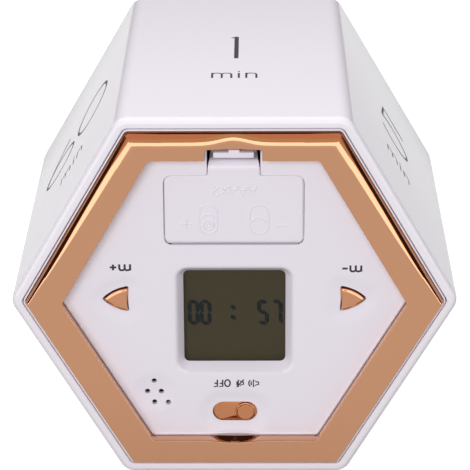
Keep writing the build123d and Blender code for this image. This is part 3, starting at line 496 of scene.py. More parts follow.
def arc(x, height, wide, tall, start, end, steps=20):
    """An open run of points on an ellipse between two angles in degrees."""
    turn = np.radians(np.linspace(start, end, steps))
    return np.stack([x + wide * np.cos(turn), height + tall * np.sin(turn)], -1)


corner_x, gap_radius = door_half - door_corner, door_corner + door_gap
fillet_x, fillet_height = neck_half + door_gap + neck_fillet, door_high + door_gap + neck_fillet
half_opening = np.concatenate([
    arc(corner_x, door_low + door_corner, gap_radius, door_corner + foot_gap, -90, 0, 10),
    arc(corner_x, door_high - door_corner, gap_radius, gap_radius, 0, 90, 10),
    arc(fillet_x, fillet_height, neck_fillet, neck_fillet, 270, 180, 6),
    [[neck_half + door_gap, recess_high]],
])
opening = np.concatenate([half_opening, half_opening[::-1] * (-1, 1)])


def panel_front(x, height):
    """Depth of the panel's face: the flat plane, lowered by the window's bevel, by the dishes round each
    button and the switch, each a smooth step of the distance from its outline, and by the sound holes'
    bowl, which falls with the square of the distance and meets the plane softly."""
    points = np.stack([x, height], -1)
    gap = gap_to(points, window_edge)[0]
    deep = window_sunk * np.clip(1 - gap / window_bevel, 0, 1) ** window_curve
    for outline in caps:
        deep += cap_dish_deep * ease((cap_dish_reach - gap_to(points, outline)[0]) / cap_dish_wide)
    deep += slot_dish_deep * ease((slot_dish_reach - gap_to(points, slot_edge)[0]) / slot_dish_wide)
    away = np.hypot(x - sound_x, height - sound_height)
    bowl = bowl_deep - away**2 / bowl_spread
    deep += (bowl + np.sqrt(bowl**2 + bowl_soft)) / 2 * ease((bowl_end - away) / bowl_blend)
    return panel_depth + deep


def panel_back(x, height):
    """Depth of the panel's back: flat, with a pocket for the window's lip, one for the switch's plate, one
    for the gauze behind the sound holes, and one at each end of the door's foot for its pin."""
    points = np.stack([x, height], -1)
    side = np.abs(x)
    back = np.full(len(points), rear)
    by_slot = (side < plate_room) & (np.abs(height - slot_middle) < plate_rise)
    by_pin = (side > pin_near) & (side < pin_far) & (np.abs(height - pin_height) < pin_rise)
    back[gap_to(points, window_edge)[0] < lip_room] = panel_depth + lip_pocket
    back[by_slot] = panel_depth + plate_pocket
    back[np.hypot(x - sound_x, height - sound_height) < gauze_room] = panel_depth + gauze_pocket
    back[by_pin] = panel_depth + pin_pocket
    return back


cap_holes = [cap_outline(side, cap_play) for side in (-1, 1)]
screw_holes = [circle(x, h, screw_hole, 20) for x, h in corners]
pin_holes = [circle(x, h, ring_pin + pin_play, 16) for x, h in pin_places]
panel_edge = hexagon(panel_reach, panel_reach, panel_corner, 6, np.linspace(-16, 16, 9))
panel_holes = [window_edge, slot_edge, opening, *cap_holes, *sound_holes, *screw_holes, *pin_holes]
sheet = plate(panel_step, panel_edge, panel_holes, panel_front, panel_back, panel_lip)


def panel_rim(inner, crest):
    """The thin raised rim that shows round the ring: from the panel's edge up to its crest, rounded over,
    and down again at the inner reach."""
    turn = np.linspace(0, pi, 7)
    half = (panel_reach - inner) / 2
    reach, depth = inner + half + half * np.cos(turn), crest + half * (1 - np.sin(turn))
    foot = panel_depth + rim_sunk
    rings = [(panel_reach, foot), *zip(reach, depth), (inner, foot)]
    return stack(*[(hexagon(r, r, panel_corner - panel_reach + r), d) for r, d in rings])


def panel_bead():
    """The thin raised bead that shows at the foot of the ring's inner wall: half an ellipse carried round
    the opening from one side of the notch to the other, with its inner edge lifted at the bite, and drawn
    in to a pole at each end."""
    half_wide, tall = 0.14, 0.26
    places = np.linspace(-14, 14, 57)
    rows = []
    for turn in [*np.linspace(0, pi, 7), 0]:
        out = half_wide - half_wide * cos(turn)
        here = hexagon(opening_level + out, opening_slope + out, opening_corner, 10, places)
        lift = (0.1 + 0.12 * (1 + cos(turn))) * bite_share(here[:, 0], here[:, 1])
        depth = np.full(len(here), panel_depth + 0.02 - tall * sin(turn))
        rows.append(np.stack([here[:, 0], depth, here[:, 1] + lift + middle], -1))
    grid = np.array(rows)
    at_notch = (grid[0, :, 2] > middle + bar_height) & (np.abs(grid[0, :, 0]) < notch_half + 0.3)
    cut = np.flatnonzero(at_notch)
    grid = np.roll(grid, -cut[-1] - 1, axis=1)[:, : grid.shape[1] - len(cut)]
    ends = [np.repeat(grid[:, i].mean(0)[None, None], len(grid), 0) for i in (0, -1)]
    return np.concatenate([ends[0], grid, ends[1]], axis=1)


def frame_wall(half_width, half_height, thick, front, back):
    """A rectangular wall round the window, closed: rings at its outside and at its inside."""
    wide = rounded(0, window_height, half_width, half_height, 0.6)
    narrow = rounded(0, window_height, half_width - thick, half_height - thick, 0.2)
    return stack((wide, front), (wide, back), (narrow, back), (narrow, front), (wide, front))


def block(x, height, half_width, half_height, front, back):
    """A closed block along the depth: a pole, a rounded rectangle at each end, and a pole."""
    pole, around = np.array([(x, height)]), rounded(x, height, half_width, half_height, 0.1, 2)
    return stack((pole, front), (around, front), (around, back), (pole, back))


posts = [(-15.7, 5.5), (15.7, 5.5), (-15.7, -9.5), (15.7, -23.0)]
box_boss_x, box_boss_height, box_boss_radius = 16.4, 17.4, 2.3
collar_x, collar_height, collar_outer, collar_inner = -16.9, -21.2, 5.4, 4.6
rail_out, rail_half, rail_wide, rail_tall = 3.8, 4.2, 0.6, 1.6
ledge_x, ledge_half, ledge_wide = 9.4, 3.4, 0.5
frame_half, frame_over, frame_thick = 11.5, 2.0, 0.9
low_wall, lcd_front = rear + 3.0, panel_depth + 3.2
post_tubes = [tube(x, h, post_radius, post_bore, rear, rear + post_long) for x, h in posts]
box_bosses = [
    tube(side * box_boss_x, box_boss_height, box_boss_radius, post_bore, rear, low_wall) for side in (-1, 1)
]
collar = tube(collar_x, collar_height, collar_outer, collar_inner, rear, low_wall)
rails = [
    block(0, slot_middle + side * rail_out, rail_half, rail_wide, rear, rear + rail_tall) for side in (-1, 1)
]
ledges = [
    block(side * ledge_x, door_high, ledge_half, ledge_wide, rear - ledge_wide, rear) for side in (-1, 1)
]
window_wall = frame_wall(frame_half, window_tall + frame_over, frame_thick, rear, lcd_front)
panel_gloss = finish(
    "white gloss panel", tone(236, 230, 240), 0.2,
    patch=18, shift=0.012, grain=600, relief=4e-7,
)
trim = [panel_rim(ring_reach + rim_play, rim_crest), panel_bead()]
behind = [*post_tubes, *box_bosses, collar, *rails, *ledges, window_wall]
panel = piece("front_panel_plate", [sheet, *trim, *behind], panel_gloss, sharp=40)
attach(panel, "housing")
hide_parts("front_panel")

# Battery door: a flat lid in the panel's ABS that turns on two pins at its foot. Its neck rolls back into a
# U-shaped spring with a catch on it, which a fingernail in the notch presses. The cell size, the way round
# and two cells are raised on its face, as thin moulded lines.
lid_thick, lid_soft, foot_soft = 1.6, 0.3, 0.85
hinge_depth, hinge_height, nose = panel_depth + 1.2, 11.9, 1.2
pin_radius, pin_out, knuckle_long = 0.7, 1.1, 1.6
roll_low, roll_radius, neck_mid = 25.3, 1.3, panel_depth + 0.51
latch_low, latch_high = roll_low + roll_radius, 28.8
latch_back, latch_front = panel_depth + 4.2, panel_depth - 1.25
latch_inset, latch_half, latch_thick, latch_soft = 0.35, 3.65, 1.0, 0.16
catch_x, catch_front, catch_foot = 0.1, panel_depth - 1.27, panel_depth - 0.2
ridge_wide, ridge_tall, lid_step = 0.36, 0.12, 0.2


def line(*points):
    """An open run of points."""
    return np.array(points, float)


def ribbon(path, wide, lay, thick=0.03):
    """A stroke: a closed band of that width along a path, square to it, whose section is half an ellipse
    of that thickness over a flat sole just under the face, carried from point to point and drawn in to a
    pole at each end; lay puts it on its face."""
    sole = -0.02
    path = np.asarray(path, float)
    run = np.gradient(path, axis=0)
    run /= np.maximum(np.linalg.norm(run, axis=1), 1e-9)[:, None]
    side = np.stack([-run[:, 1], run[:, 0]], -1) * wide / 2
    turn = np.radians([0, 36, 72, 108, 144, 180])
    across = np.concatenate([[1], np.cos(turn), [-1, 1]])
    up = np.concatenate([[sole], thick * np.sin(turn), [sole, sole]])
    rows = path[:, None] + side[:, None] * across[:, None]
    lift = np.broadcast_to(up, rows.shape[:2])
    ends = [np.repeat(r.mean(1, keepdims=True), len(up), 1) for r in (rows[:1], rows[-1:])]
    rows = np.concatenate([ends[0], rows, ends[1]])
    lift = np.concatenate([lift[:1] * 0, lift, lift[:1] * 0])
    return lay(rows[..., 0], rows[..., 1], lift)


def on_panel(x, height):
    """Lays strokes on the panel upside down from that place; their third axis comes forward."""

    def lay(u, v, w):
        return np.stack([x - u, panel_depth - w, middle + height - v], -1)

    return lay


letter_a = [line((0, 0), (0.75, 2.0), (1.5, 0)), line((0.3, 0.75), (1.2, 0.75))]
cross = [line((0, 0.2), (1.1, 1.5)), line((0, 1.5), (1.1, 0.2))]
two = [np.concatenate([arc(0.6, 1.4, 0.55, 0.55, 170, -30, 12), line((0.05, 0.05), (1.2, 0.05))])]
words = [stroke + (step, 0) for step in (0, 1.75, 3.5) for stroke in letter_a]
words += [stroke + (5.25, 0) for stroke in cross] + [stroke + (6.8, 0) for stroke in two]
raised = [stroke - (4.2, 22.25) for stroke in words]
raised += [line((9.8, -14.8), (7.5, -14.8)), line((8.65, -13.65), (8.65, -15.95))]
raised += [line((-7.5, -14.45), (-9.85, -14.45))]


def capsule(x, low, high, half):
    """An upright obround as one run of points: two half circles and the straight sides between."""
    over = arc(x, high - half, half, half, 0, 180)
    under = arc(x, low + half, half, half, 180, 360)
    return np.concatenate([over, under, over[:1]])


cells = [capsule(-4.68, 12.85, 18.55, 1.62), arc(-4.62, 15.1, 1.6, 1.6, 25, 155)]
cells += [arc(-4.62, 14.64, 0.95, 0.95, 0, 362), arc(-4.62, 14.64, 0.35, 0.35, 0, 365)]
cells += [capsule(4.6, 12.8, 18.55, 1.7), arc(4.57, 14.3, 1.68, 1.68, 20, 160)]
raised += [-stroke for stroke in cells]
half_lid = np.concatenate([
    [[-neck_half, roll_low], [-neck_half, door_high + neck_fillet]],
    arc(-neck_half - neck_fillet, door_high + neck_fillet, neck_fillet, neck_fillet, 0, -90, 5),
    arc(-corner_x, door_high - door_corner, door_corner, door_corner, 90, 180, 10),
    arc(-corner_x, door_low + door_corner, door_corner, door_corner, 180, 270, 10),
])
lid_edge = np.concatenate([half_lid, (half_lid * (-1, 1))[::-1]])
long_neck = lid_edge.copy()
long_neck[long_neck[:, 1] > roll_low - 0.01, 1] = roll_low + 3


def lid_front(x, height):
    """Depth of the lid's face: flat, rounded over at its rim by a quarter circle of the distance from it,
    and at its foot by a larger one, which leaves room for the foot to turn."""
    inward = -gap_to(np.stack([x, height], -1), long_neck, 5.0)[0]
    near = np.clip(1 - inward / lid_soft, 0, 1)
    low = np.clip(1 - (height - hinge_height + nose) / foot_soft, 0, 1)
    edge, foot = lid_soft * (1 - np.sqrt(1 - near**2)), foot_soft * (1 - np.sqrt(1 - low**2))
    return panel_depth + np.maximum(edge, foot)


def lid_back(x, height):
    """Depth of the lid's back: flat, and round the hinge at its foot."""
    foot = hinge_depth + np.sqrt(np.maximum(nose**2 - np.minimum(height - hinge_height, 0) ** 2, 0))
    return np.minimum(panel_depth + lid_thick, foot)


def turned_rod(start, end, radius):
    """A closed rod on the hinge's line, between two places along x: a pole, two rings and a pole."""
    turn = np.linspace(0, 2 * pi, 25)
    x = np.array([start, start, end, end])[:, None] + 0 * turn
    out = np.array([0, radius, radius, 0])[:, None]
    return np.stack([x, hinge_depth + out * np.cos(turn), middle + hinge_height + out * np.sin(turn)], -1)


def strip(route, half_width, thick, soft):
    """A spring strip: a rounded rectangle, its half width given at each point, carried along a route of
    (depth, height) points, square to the route, and drawn in over a slight bulge to a pole at each end."""
    route = np.asarray(route)
    run = np.gradient(route, axis=0)
    run /= np.linalg.norm(run, axis=1)[:, None]
    out = np.stack([-run[:, 1], run[:, 0]], -1)
    section = rounded(0, 0, 1, thick / 2, soft, 4)
    section = np.concatenate([section, section[:1]])
    wide = np.sign(section[:, 0]) * (half_width[:, None] - 1) + section[:, 0]
    path = route[:, None] + section[None, :, 1:2] * out[:, None]
    grid = np.stack([wide, path[..., 0], path[..., 1] + middle], -1)
    first, last = grid[:1].mean(1, keepdims=True), grid[-1:].mean(1, keepdims=True)
    bulge = 0.06
    near = [grid[:1] * (1 - bulge) + first * bulge, grid[-1:] * (1 - bulge) + last * bulge]
    shift = np.stack([0 * run[:, 0], run[:, 0], run[:, 1]], -1) * soft * 0.6
    return np.concatenate([
        np.broadcast_to(first, grid[:1].shape) - shift[0], near[0] - shift[0], grid, near[1] + shift[-1],
        np.broadcast_to(last, grid[:1].shape) + shift[-1],
    ])


latch_turn = (latch_high - latch_low) / 2
route = np.concatenate([
    line((neck_mid, roll_low - 0.7), (neck_mid, roll_low - 0.3), (neck_mid, roll_low)),
    arc(neck_mid + roll_radius, roll_low, roll_radius, roll_radius, 180, 90, 10)[1:],
    np.stack([np.linspace(neck_mid + roll_radius + 0.3, latch_back - 0.2, 6), np.full(6, latch_low)], -1),
    arc(latch_back, latch_low + latch_turn, latch_turn, latch_turn, -90, 90, 14),
    np.stack([np.linspace(latch_back - 0.3, latch_front, 10), np.full(10, latch_high)], -1),
])
taper = ease((np.arange(len(route)) - 2) / 10)
turned_back = ease((np.arange(len(route)) - 18) / 14)
latch_width = neck_half - latch_inset * taper - (neck_half - latch_inset - latch_half) * turned_back
catch_high, catch_low = latch_high + 0.4, latch_high + 0.2
catch = stack(
    (np.array([(catch_x, catch_high)]), catch_front),
    (rounded(catch_x, catch_high, 0.9, 0.5, 0.12, 4), catch_front),
    (rounded(catch_x, catch_high, 1.0, 0.6, 0.15, 4), catch_front + 0.1),
    (rounded(catch_x, catch_high, 1.0, 0.6, 0.15, 4), catch_foot - 0.3),
    (rounded(catch_x, catch_low, 1.0, 0.4, 0.15, 4), catch_foot),
    (np.array([(catch_x, catch_low)]), catch_foot),
)
rods = []
for side in (-1, 1):
    for start, end, radius in (
        (corner_x - knuckle_long, corner_x, nose),
        (corner_x - 0.2, door_half + pin_out, pin_radius),
    ):
        rods.append(turned_rod(side * start, side * end, radius))
lid = plate(lid_step, lid_edge, [], lid_front, lid_back, 0.0)
ridges = [ribbon(stroke, ridge_wide, on_panel(0, 0), ridge_tall) for stroke in raised]
latch = strip(route, latch_width, latch_thick, latch_soft)
door = piece("battery_door_lid", [lid, *ridges, latch, catch, *rods], panel_gloss, sharp=40)
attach(door, "door")
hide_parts("battery_door")

# Buttons: two rounded triangles in plated ABS, slightly crowned, each with a flange behind the panel and a
# stem that stands on its tact switch. They point away from the display.
cap_front, cap_crown = panel_depth - 0.3, 0.12
border_wide, border_turn, border_fall = 0.5, 0.2, 0.45
flange_grow, flange_front, flange_back = 0.9, rear + 0.1, rear + 1.1
stem_in, stem_radius, tact_tall, plunger_out = 1.75, 1.5, 3.4, 0.7
tact_face = rear + post_long - tact_tall - plunger_out


def cap(side):
    """A button: its outline in rings, brought forward over the edge by part of a circle, drawn in over a
    sloping border, then in to the middle over a low crown, which falls with the square of the way out;
    behind the panel the outline grows into the flange, and a round stem goes back from it."""
    heart = np.array([side * (cap_inner + stem_in), cap_level])
    outline, grown = cap_outline(side, 0.0), cap_outline(side, flange_grow)
    share = np.linspace(0, 1, len(outline), endpoint=False)
    grown_share = np.linspace(0, 1, len(grown) + 1)
    closed = np.concatenate([grown, grown[:1]])
    flange = np.stack([np.interp(share, grown_share, closed[:, axis]) for axis in (0, 1)], -1)
    inward = outline - heart
    length = np.linalg.norm(inward, axis=1)[:, None]
    pole = heart[None]
    rings = [(pole, cap_front - cap_crown)]
    for out in (0.15, 0.35, 0.55, 0.75, 0.9):
        around = heart + inward * out * (1 - border_wide / length)
        rings.append((around, cap_front - cap_crown * (1 - out**2)))
    slope_start = cap_front + 0.01
    for left in np.linspace(border_wide, border_turn, 5):
        around = heart + inward * (1 - left / length)
        rings.append((around, slope_start + border_fall * (border_wide - left)))
    brink = slope_start + border_fall * (border_wide - border_turn)
    for a in np.linspace(0.35, 1, 6) * pi / 2:
        around = heart + inward * (1 - border_turn * (1 - sin(a)) / length)
        rings.append((around, brink + border_turn * (0.98 - cos(a))))
    rings += [(outline, flange_front), (flange, flange_front), (flange, flange_back), (pole, flange_back)]
    stem = circle(*heart, stem_radius, 28)
    return [stack(*rings), stack((pole, rear + 1), (stem, rear + 1), (stem, tact_face), (pole, tact_face))]


cap_plating = finish(
    "rose gold buttons", tone(203, 146, 111), 0.06,
    patch=90, shift=0.02, grain=400, relief=6e-7, metallic=1.0,
)
for side, body in ((-1, "plus"), (1, "minus")):
    button = piece(body + "_button_cap", cap(side), cap_plating, sharp=50)
    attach(button, body + "_key")
    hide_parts(body + "_button")

# Sound switch: a plated knob on a sliding plate, which fills the slot from behind at each of its three
# stops: off, mute and sound. The knob stands at sound. Two prongs on the plate's back hold the lever.
knob_x = 2.0
plate_half, plate_wide, plate_corner, plate_edge = 6.4, 3.0, 0.5, 0.1
plate_front, plate_back = panel_depth + 0.68, panel_depth + 1.48
prong_out, prong_half, prong_wide, prong_end = 1.3, 0.5, 1.5, plate_back + 2.87
# The knob's rings from its middle outwards: the radius, and the depth behind the panel's face.
knob_rings = [
    (0.0, -0.06), (0.5, -0.065), (1.0, -0.075), (1.25, -0.09), (1.38, -0.1), (1.47, -0.09),
    (1.53, -0.05), (1.57, 0.02), (1.59, 0.12), (1.61, 0.2), (1.66, 0.25), (1.72, 0.26),
    (1.8, 0.29), (1.86, 0.36), (1.89, 0.48), (1.9, 0.7), (1.9, 1.4), (0.0, 1.4),
]
knob = stack(*[(circle(knob_x, slot_middle, max(r, 1e-6)), panel_depth + d) for r, d in knob_rings])
plate_pole, plate_outlines = np.array([(knob_x, slot_middle)]), []
for inset in (plate_edge, 0):
    half, wide, corner = plate_half - inset, plate_wide - inset, plate_corner - inset
    plate_outlines.append(rounded(knob_x, slot_middle, half, wide, corner))
slide_plate = stack(
    (plate_pole, plate_front),
    (plate_outlines[0], plate_front),
    (plate_outlines[1], plate_front + plate_edge),
    (plate_outlines[1], plate_back),
    (plate_pole, plate_back),
)
prongs = [
    block(knob_x + side * prong_out, slot_middle, prong_half, prong_wide, plate_back, prong_end)
    for side in (-1, 1)
]
# The knob's plating is the same rose gold painted darker and more orange: painted shade for the darker
# reflections the knob shows.
knob_plating_painted_darker = finish(
    "rose gold knob painted darker", tone(198, 134, 94), 0.06,
    patch=90, shift=0.02, grain=400, relief=6e-7, metallic=1.0,
)
slider = piece("switch_slider_knob", [knob, slide_plate, *prongs], knob_plating_painted_darker, sharp=50)
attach(slider, "sound_switch")
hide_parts("switch_slider")

# Display window: a clear acrylic plate let into the back of the bevelled opening, lightly tinted.
clear = finish(
    "clear window", tone(84, 78, 68), 0.08,
    patch=20, shift=0.01, grain=300, relief=1e-7, Alpha=0.12, IOR=1.15,
)


def dress(material, *names):
    """Gives the frame's own solids of those names that finish."""
    for name in names:
        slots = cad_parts[name].data.materials
        slots.clear()
        slots.append(material)


dress(clear, "lcd_window")

# Display: a liquid crystal cell of two glass plates on a grey-green reflector. Its segments are dark, and
# each has a painted shadow: a shifted, half-clear dark copy of its bars just behind it on the reflector.
# It reads 00 : 57, upright to the reader.
digit_middle, digit_wide, digit_tall, bar_thick = -4.45, 1.45, 4.4, 0.5
colon_x, colon_step, colon_half, colon_corner = -0.4, 1.05, 0.34, 0.08
digit_depths = lcd_front + 0.02, lcd_front + 0.05
shadow_depths, shadow_shift = (lcd_front + 0.06, lcd_front + 0.08), (0.28, -0.3)


def slabs(outlines, front, back):
    """Thin plates from outlines: each has its front and back rings and a pole at each face."""
    made = []
    for outline in outlines:
        pole = outline.mean(0)[None]
        made.append(stack((pole, front), (outline, front), (outline, back), (pole, back)))
    return made


def segments(x, height, wide, tall, thick, lit):
    """The lit bars of a seven-segment digit: long hexagons, pointed at both ends, along its frame; bars are
    numbered top, upper right, lower right, foot, lower left, upper left and middle."""
    half, gap = tall / 2, 0.07
    ends = [
        ((0, half), (wide, half)), ((wide, half), (wide, 0)), ((wide, 0), (wide, -half)),
        ((0, -half), (wide, -half)), ((0, 0), (0, -half)), ((0, half), (0, 0)), ((0, 0), (wide, 0)),
    ]
    bars = []
    for number in lit:
        start, end = (np.array(p, float) for p in ends[number])
        along = (end - start) / np.linalg.norm(end - start)
        side = np.array([-along[1], along[0]]) * thick / 2
        a, b = start + along * gap, end - along * gap
        c, d = a + along * thick / 2, b - along * thick / 2
        bars.append(np.array([a, c + side, d + side, b, d - side, c - side]) + (x, height))
    return bars


zero, five, seven = (0, 1, 2, 3, 4, 5), (0, 5, 6, 2, 3), (0, 1, 2)
bars = []
for x, lit in ((-8.55, zero), (-6.3, zero), (4.45, five), (7.05, seven)):
    bars += segments(x, digit_middle, digit_wide, digit_tall, bar_thick, lit)
for dot_height in (digit_middle - colon_step, digit_middle + colon_step):
    bars.append(rounded(colon_x, dot_height, colon_half, colon_half, colon_corner, 2))
dark = finish(
    "display segments", tone(0, 30, 40), 0.5,
    patch=400, shift=0.02, grain=900, relief=1e-7, IOR=1.1,
)
digits = piece("lcd_digits", slabs(bars, *digit_depths), dark)
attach(digits, "housing")
# The segments' shadows are painted, not cast: dark half-clear copies of the bars, shifted and laid behind
# them.
painted_segment_shadow = finish(
    "display segment painted shadow", tone(16, 36, 48), 0.6,
    patch=400, shift=0.02, grain=900, relief=1e-7, Alpha=0.5, IOR=1.1,
)
shadow_bars = [bar + shadow_shift for bar in bars]
shadows = piece("lcd_painted_digit_shadows", slabs(shadow_bars, *shadow_depths), painted_segment_shadow)
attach(shadows, "housing")

cell_glass = finish(
    "display cell", tone(77, 70, 52), 0.3,
    patch=120, shift=0.04, grain=900, relief=1e-7, IOR=1.15,
)
dress(cell_glass, "lcd_glass")

# Display holder: a dark frame moulded in matt ABS that clips round the cell, with the silvered film behind
# the glass and two strips of layered conductive rubber, pressed between the glass and the board.
film = finish(
    "silvered film", tone(178, 180, 174), 0.32,
    patch=90, shift=0.03, grain=2500, relief=3e-7, metallic=0.7,
)
dress(film, "lcd_rear_film")
holder_plastic = finish(
    "matt holder plastic", tone(62, 60, 66), 0.42,
    patch=45, shift=0.04, grain=1300, relief=1.5e-6,
)
dress(holder_plastic, "lcd_frame")


def painted(material, colour):
    """Multiplies a finish's colour by the colour from a socket in the same tree."""
    tree = material.node_tree
    shader = tree.nodes["Principled BSDF"]
    under = shader.inputs["Base Color"].links[0].from_socket
    over = tree.nodes.new("ShaderNodeMix")
    over.data_type = "RGBA"
    over.blend_type = "MULTIPLY"
    over.inputs["Factor"].default_value = 1.0
    tree.links.new(under, over.inputs["A"])
    tree.links.new(colour, over.inputs["B"])
    tree.links.new(over.outputs["Result"], shader.inputs["Base Color"])


def banded(material, axis, *stops):
    """Paints a finish in hard bands along an axis of the object: each stop is the place, in millimetres,
    where its colour begins."""
    tree = material.node_tree
    place = tree.nodes.new("ShaderNodeTexCoord")
    split = tree.nodes.new("ShaderNodeSeparateXYZ")
    span = tree.nodes.new("ShaderNodeMapRange")
    first, last = stops[0][0], stops[-1][0] + 1
    span.inputs["From Min"].default_value = first / 1000
    span.inputs["From Max"].default_value = last / 1000
    ramp = tree.nodes.new("ShaderNodeValToRGB")
    ramp.color_ramp.interpolation = "CONSTANT"
    ramp.color_ramp.elements.remove(ramp.color_ramp.elements[1])
    for start, colour in stops[1:]:
        ramp.color_ramp.elements.new((start - first) / (last - first)).color = (*colour, 1)
    ramp.color_ramp.elements[0].color = (*stops[0][1], 1)
    tree.links.new(place.outputs["Object"], split.inputs["Vector"])
    tree.links.new(split.outputs[axis], span.inputs["Value"])
    tree.links.new(span.outputs["Result"], ramp.inputs["Fac"])
    painted(material, ramp.outputs["Color"])
    return material


layered = finish("layered rubber", (1.0, 1.0, 1.0), 0.7, patch=200, shift=0.05, grain=2600, relief=2e-6)
tree = layered.node_tree
layers = tree.nodes.new("ShaderNodeTexWave")
layers.inputs["Scale"].default_value = 420
layer_colour = tree.nodes.new("ShaderNodeValToRGB")
layer_colour.color_ramp.elements[0].color = (*tone(34, 33, 35), 1)
layer_colour.color_ramp.elements[1].color = (*tone(196, 186, 176), 1)
layer_place = tree.nodes.new("ShaderNodeTexCoord")
tree.links.new(layer_place.outputs["Object"], layers.inputs["Vector"])
tree.links.new(layers.outputs["Fac"], layer_colour.inputs["Fac"])
painted(layered, layer_colour.outputs["Color"])
dress(layered, "zebra_strips")

# Board: a glass-fibre board under green solder mask, whose tracks show as fine lines. It carries a timer
# chip, a sensor that tells which face is up, and a capacitor in a sleeved can, all soldered to its back.
board = finish("green solder mask", (1.0, 1.0, 1.0), 0.28, patch=70, shift=0.05, grain=900, relief=1.2e-6)
tree = board.node_tree
board_place = tree.nodes.new("ShaderNodeTexCoord")
board_split = tree.nodes.new("ShaderNodeSeparateXYZ")
board_flat = tree.nodes.new("ShaderNodeCombineXYZ")
tracks = tree.nodes.new("ShaderNodeTexBrick")
tracks.offset, tracks.squash = 0.37, 1.6
for socket, value in (("Scale", 260.0), ("Mortar Size", 0.05), ("Brick Width", 1.1), ("Row Height", 0.3)):
    tracks.inputs[socket].default_value = value
tracks.inputs["Color1"].default_value = (*tone(22, 84, 52), 1)
tracks.inputs["Color2"].default_value = (*tone(28, 96, 60), 1)
tracks.inputs["Mortar"].default_value = (*tone(58, 132, 84), 1)
tree.links.new(board_place.outputs["Object"], board_split.inputs["Vector"])
tree.links.new(board_split.outputs["X"], board_flat.inputs["X"])
tree.links.new(board_split.outputs["Z"], board_flat.inputs["Y"])
tree.links.new(board_flat.outputs["Vector"], tracks.inputs["Vector"])
painted(board, tracks.outputs["Color"])
dress(board, "main_pcb")
chip_epoxy = finish(
    "chip epoxy", tone(27, 27, 29), 0.38,
    patch=160, shift=0.06, grain=2200, relief=2.5e-6,
)
dress(chip_epoxy, "timer_chip", "gravity_sensor")
sleeve = finish("capacitor sleeve", (1.0, 1.0, 1.0), 0.3, patch=150, shift=0.03, grain=1200, relief=8e-7)
dress(banded(sleeve, "Y", (-24, tone(30, 34, 52)), (-17.4, tone(172, 172, 170))), "capacitor")

# Keys and switch on the board: two tact switches with their plungers and a slide switch in a folded steel
# case with its lever. The buttons' stems press the plungers, and the knob's prongs carry the lever along.
key_case = finish(
    "tact switch case", tone(38, 37, 40), 0.48,
    patch=120, shift=0.05, grain=1700, relief=1.5e-6,
)
dress(key_case, "tact_switches")
plunger = finish(
    "plunger nylon", tone(206, 198, 184), 0.4,
    patch=150, shift=0.04, grain=1500, relief=1e-6,
)
dress(plunger, "plus_plunger", "minus_plunger", "slide_lever")
folded_steel = finish(
    "folded steel case", tone(184, 186, 188), 0.24,
    patch=160, shift=0.05, grain=1100, relief=1.5e-6, metallic=1.0,
)
dress(folded_steel, "slide_switch")

# Buzzer: a black moulded case whose mouth faces the five sound holes, with a thin brass disc inside it.
# A round of fine black gauze lies in a pocket in the panel, behind the holes, and keeps the dust out.
gauze_radius, gauze_front, gauze_back = 3.75, panel_depth + 1.15, panel_depth + 1.3
gauze_rim, gauze_pole = circle(sound_x, sound_height, gauze_radius), np.array([(sound_x, sound_height)])
gauze_cloth = finish("black gauze", tone(14, 13, 16), 0.9, patch=300, shift=0.06, grain=5200, relief=4e-6)
gauze_round = stack(
    (gauze_pole, gauze_front), (gauze_rim, gauze_front), (gauze_rim, gauze_back), (gauze_pole, gauze_back)
)
gauze = piece("sound_gauze", [gauze_round], gauze_cloth)
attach(gauze, "housing")
buzzer_plastic = finish(
    "buzzer case plastic", tone(24, 23, 26), 0.5,
    patch=110, shift=0.05, grain=1500, relief=1.5e-6,
)
dress(buzzer_plastic, "buzzer_case")
brass = finish(
    "buzzer brass", tone(196, 160, 92), 0.22,
    patch=180, shift=0.06, grain=1500, relief=8e-7, metallic=1.0,
)
dress(brass, "buzzer_disc")

# Battery box: a matt grey moulding screwed to the panel's back, open at the door. Its contacts are nickel
# plated spring steel: a spring and a plate at the far end, and a bridge at the door that joins the cells.
box_plastic = finish(
    "battery box plastic", tone(58, 55, 62), 0.42,
    patch=35, shift=0.04, grain=1300, relief=1.5e-6,
)
dress(box_plastic, "battery_box")
nickel = finish(
    "nickel plate", tone(190, 187, 180), 0.2,
    patch=140, shift=0.05, grain=1300, relief=1e-6, metallic=1.0,
)
dress(nickel, "bay_spring_contact", "bay_plate_contact", "door_contact")

# Cells and leads: two AAA cells in plain graphite wraps, with a copper band at one end, lying head to tail;
# a red and a black lead in PVC run from the box's contacts to the board.
graphite, copper, steel = tone(44, 45, 50), tone(186, 116, 74), tone(186, 186, 188)
for name, stops in (
    ("battery_left", ((-30, steel), (-28.6, graphite), (4, copper), (13.7, steel))),
    ("battery_right", ((-30, steel), (-28.8, copper), (-19, graphite), (13.7, steel))),
):
    wrap = finish(name + " wrap", (1.0, 1.0, 1.0), 0.26, patch=80, shift=0.03, grain=900, relief=6e-7)
    dress(banded(wrap, "Y", *stops), name)
cover = finish("lead covers", (1.0, 1.0, 1.0), 0.45, patch=160, shift=0.04, grain=1500, relief=1e-6)
dress(banded(cover, "X", (-7, tone(168, 34, 34)), (0, tone(30, 30, 32))), "battery_leads")

# Screws: steel self-tapping screws, zinc plated, with crossed recesses; six hold the panel to the shell's
# bosses, out of sight under the ring, four the board and two the battery box.
zinc = finish(
    "zinc plated steel", tone(176, 178, 182), 0.27,
    patch=250, shift=0.06, grain=1800, relief=2e-6, metallic=1.0,
)
dress(zinc, "panel_screws", "pcb_screws", "box_screws")

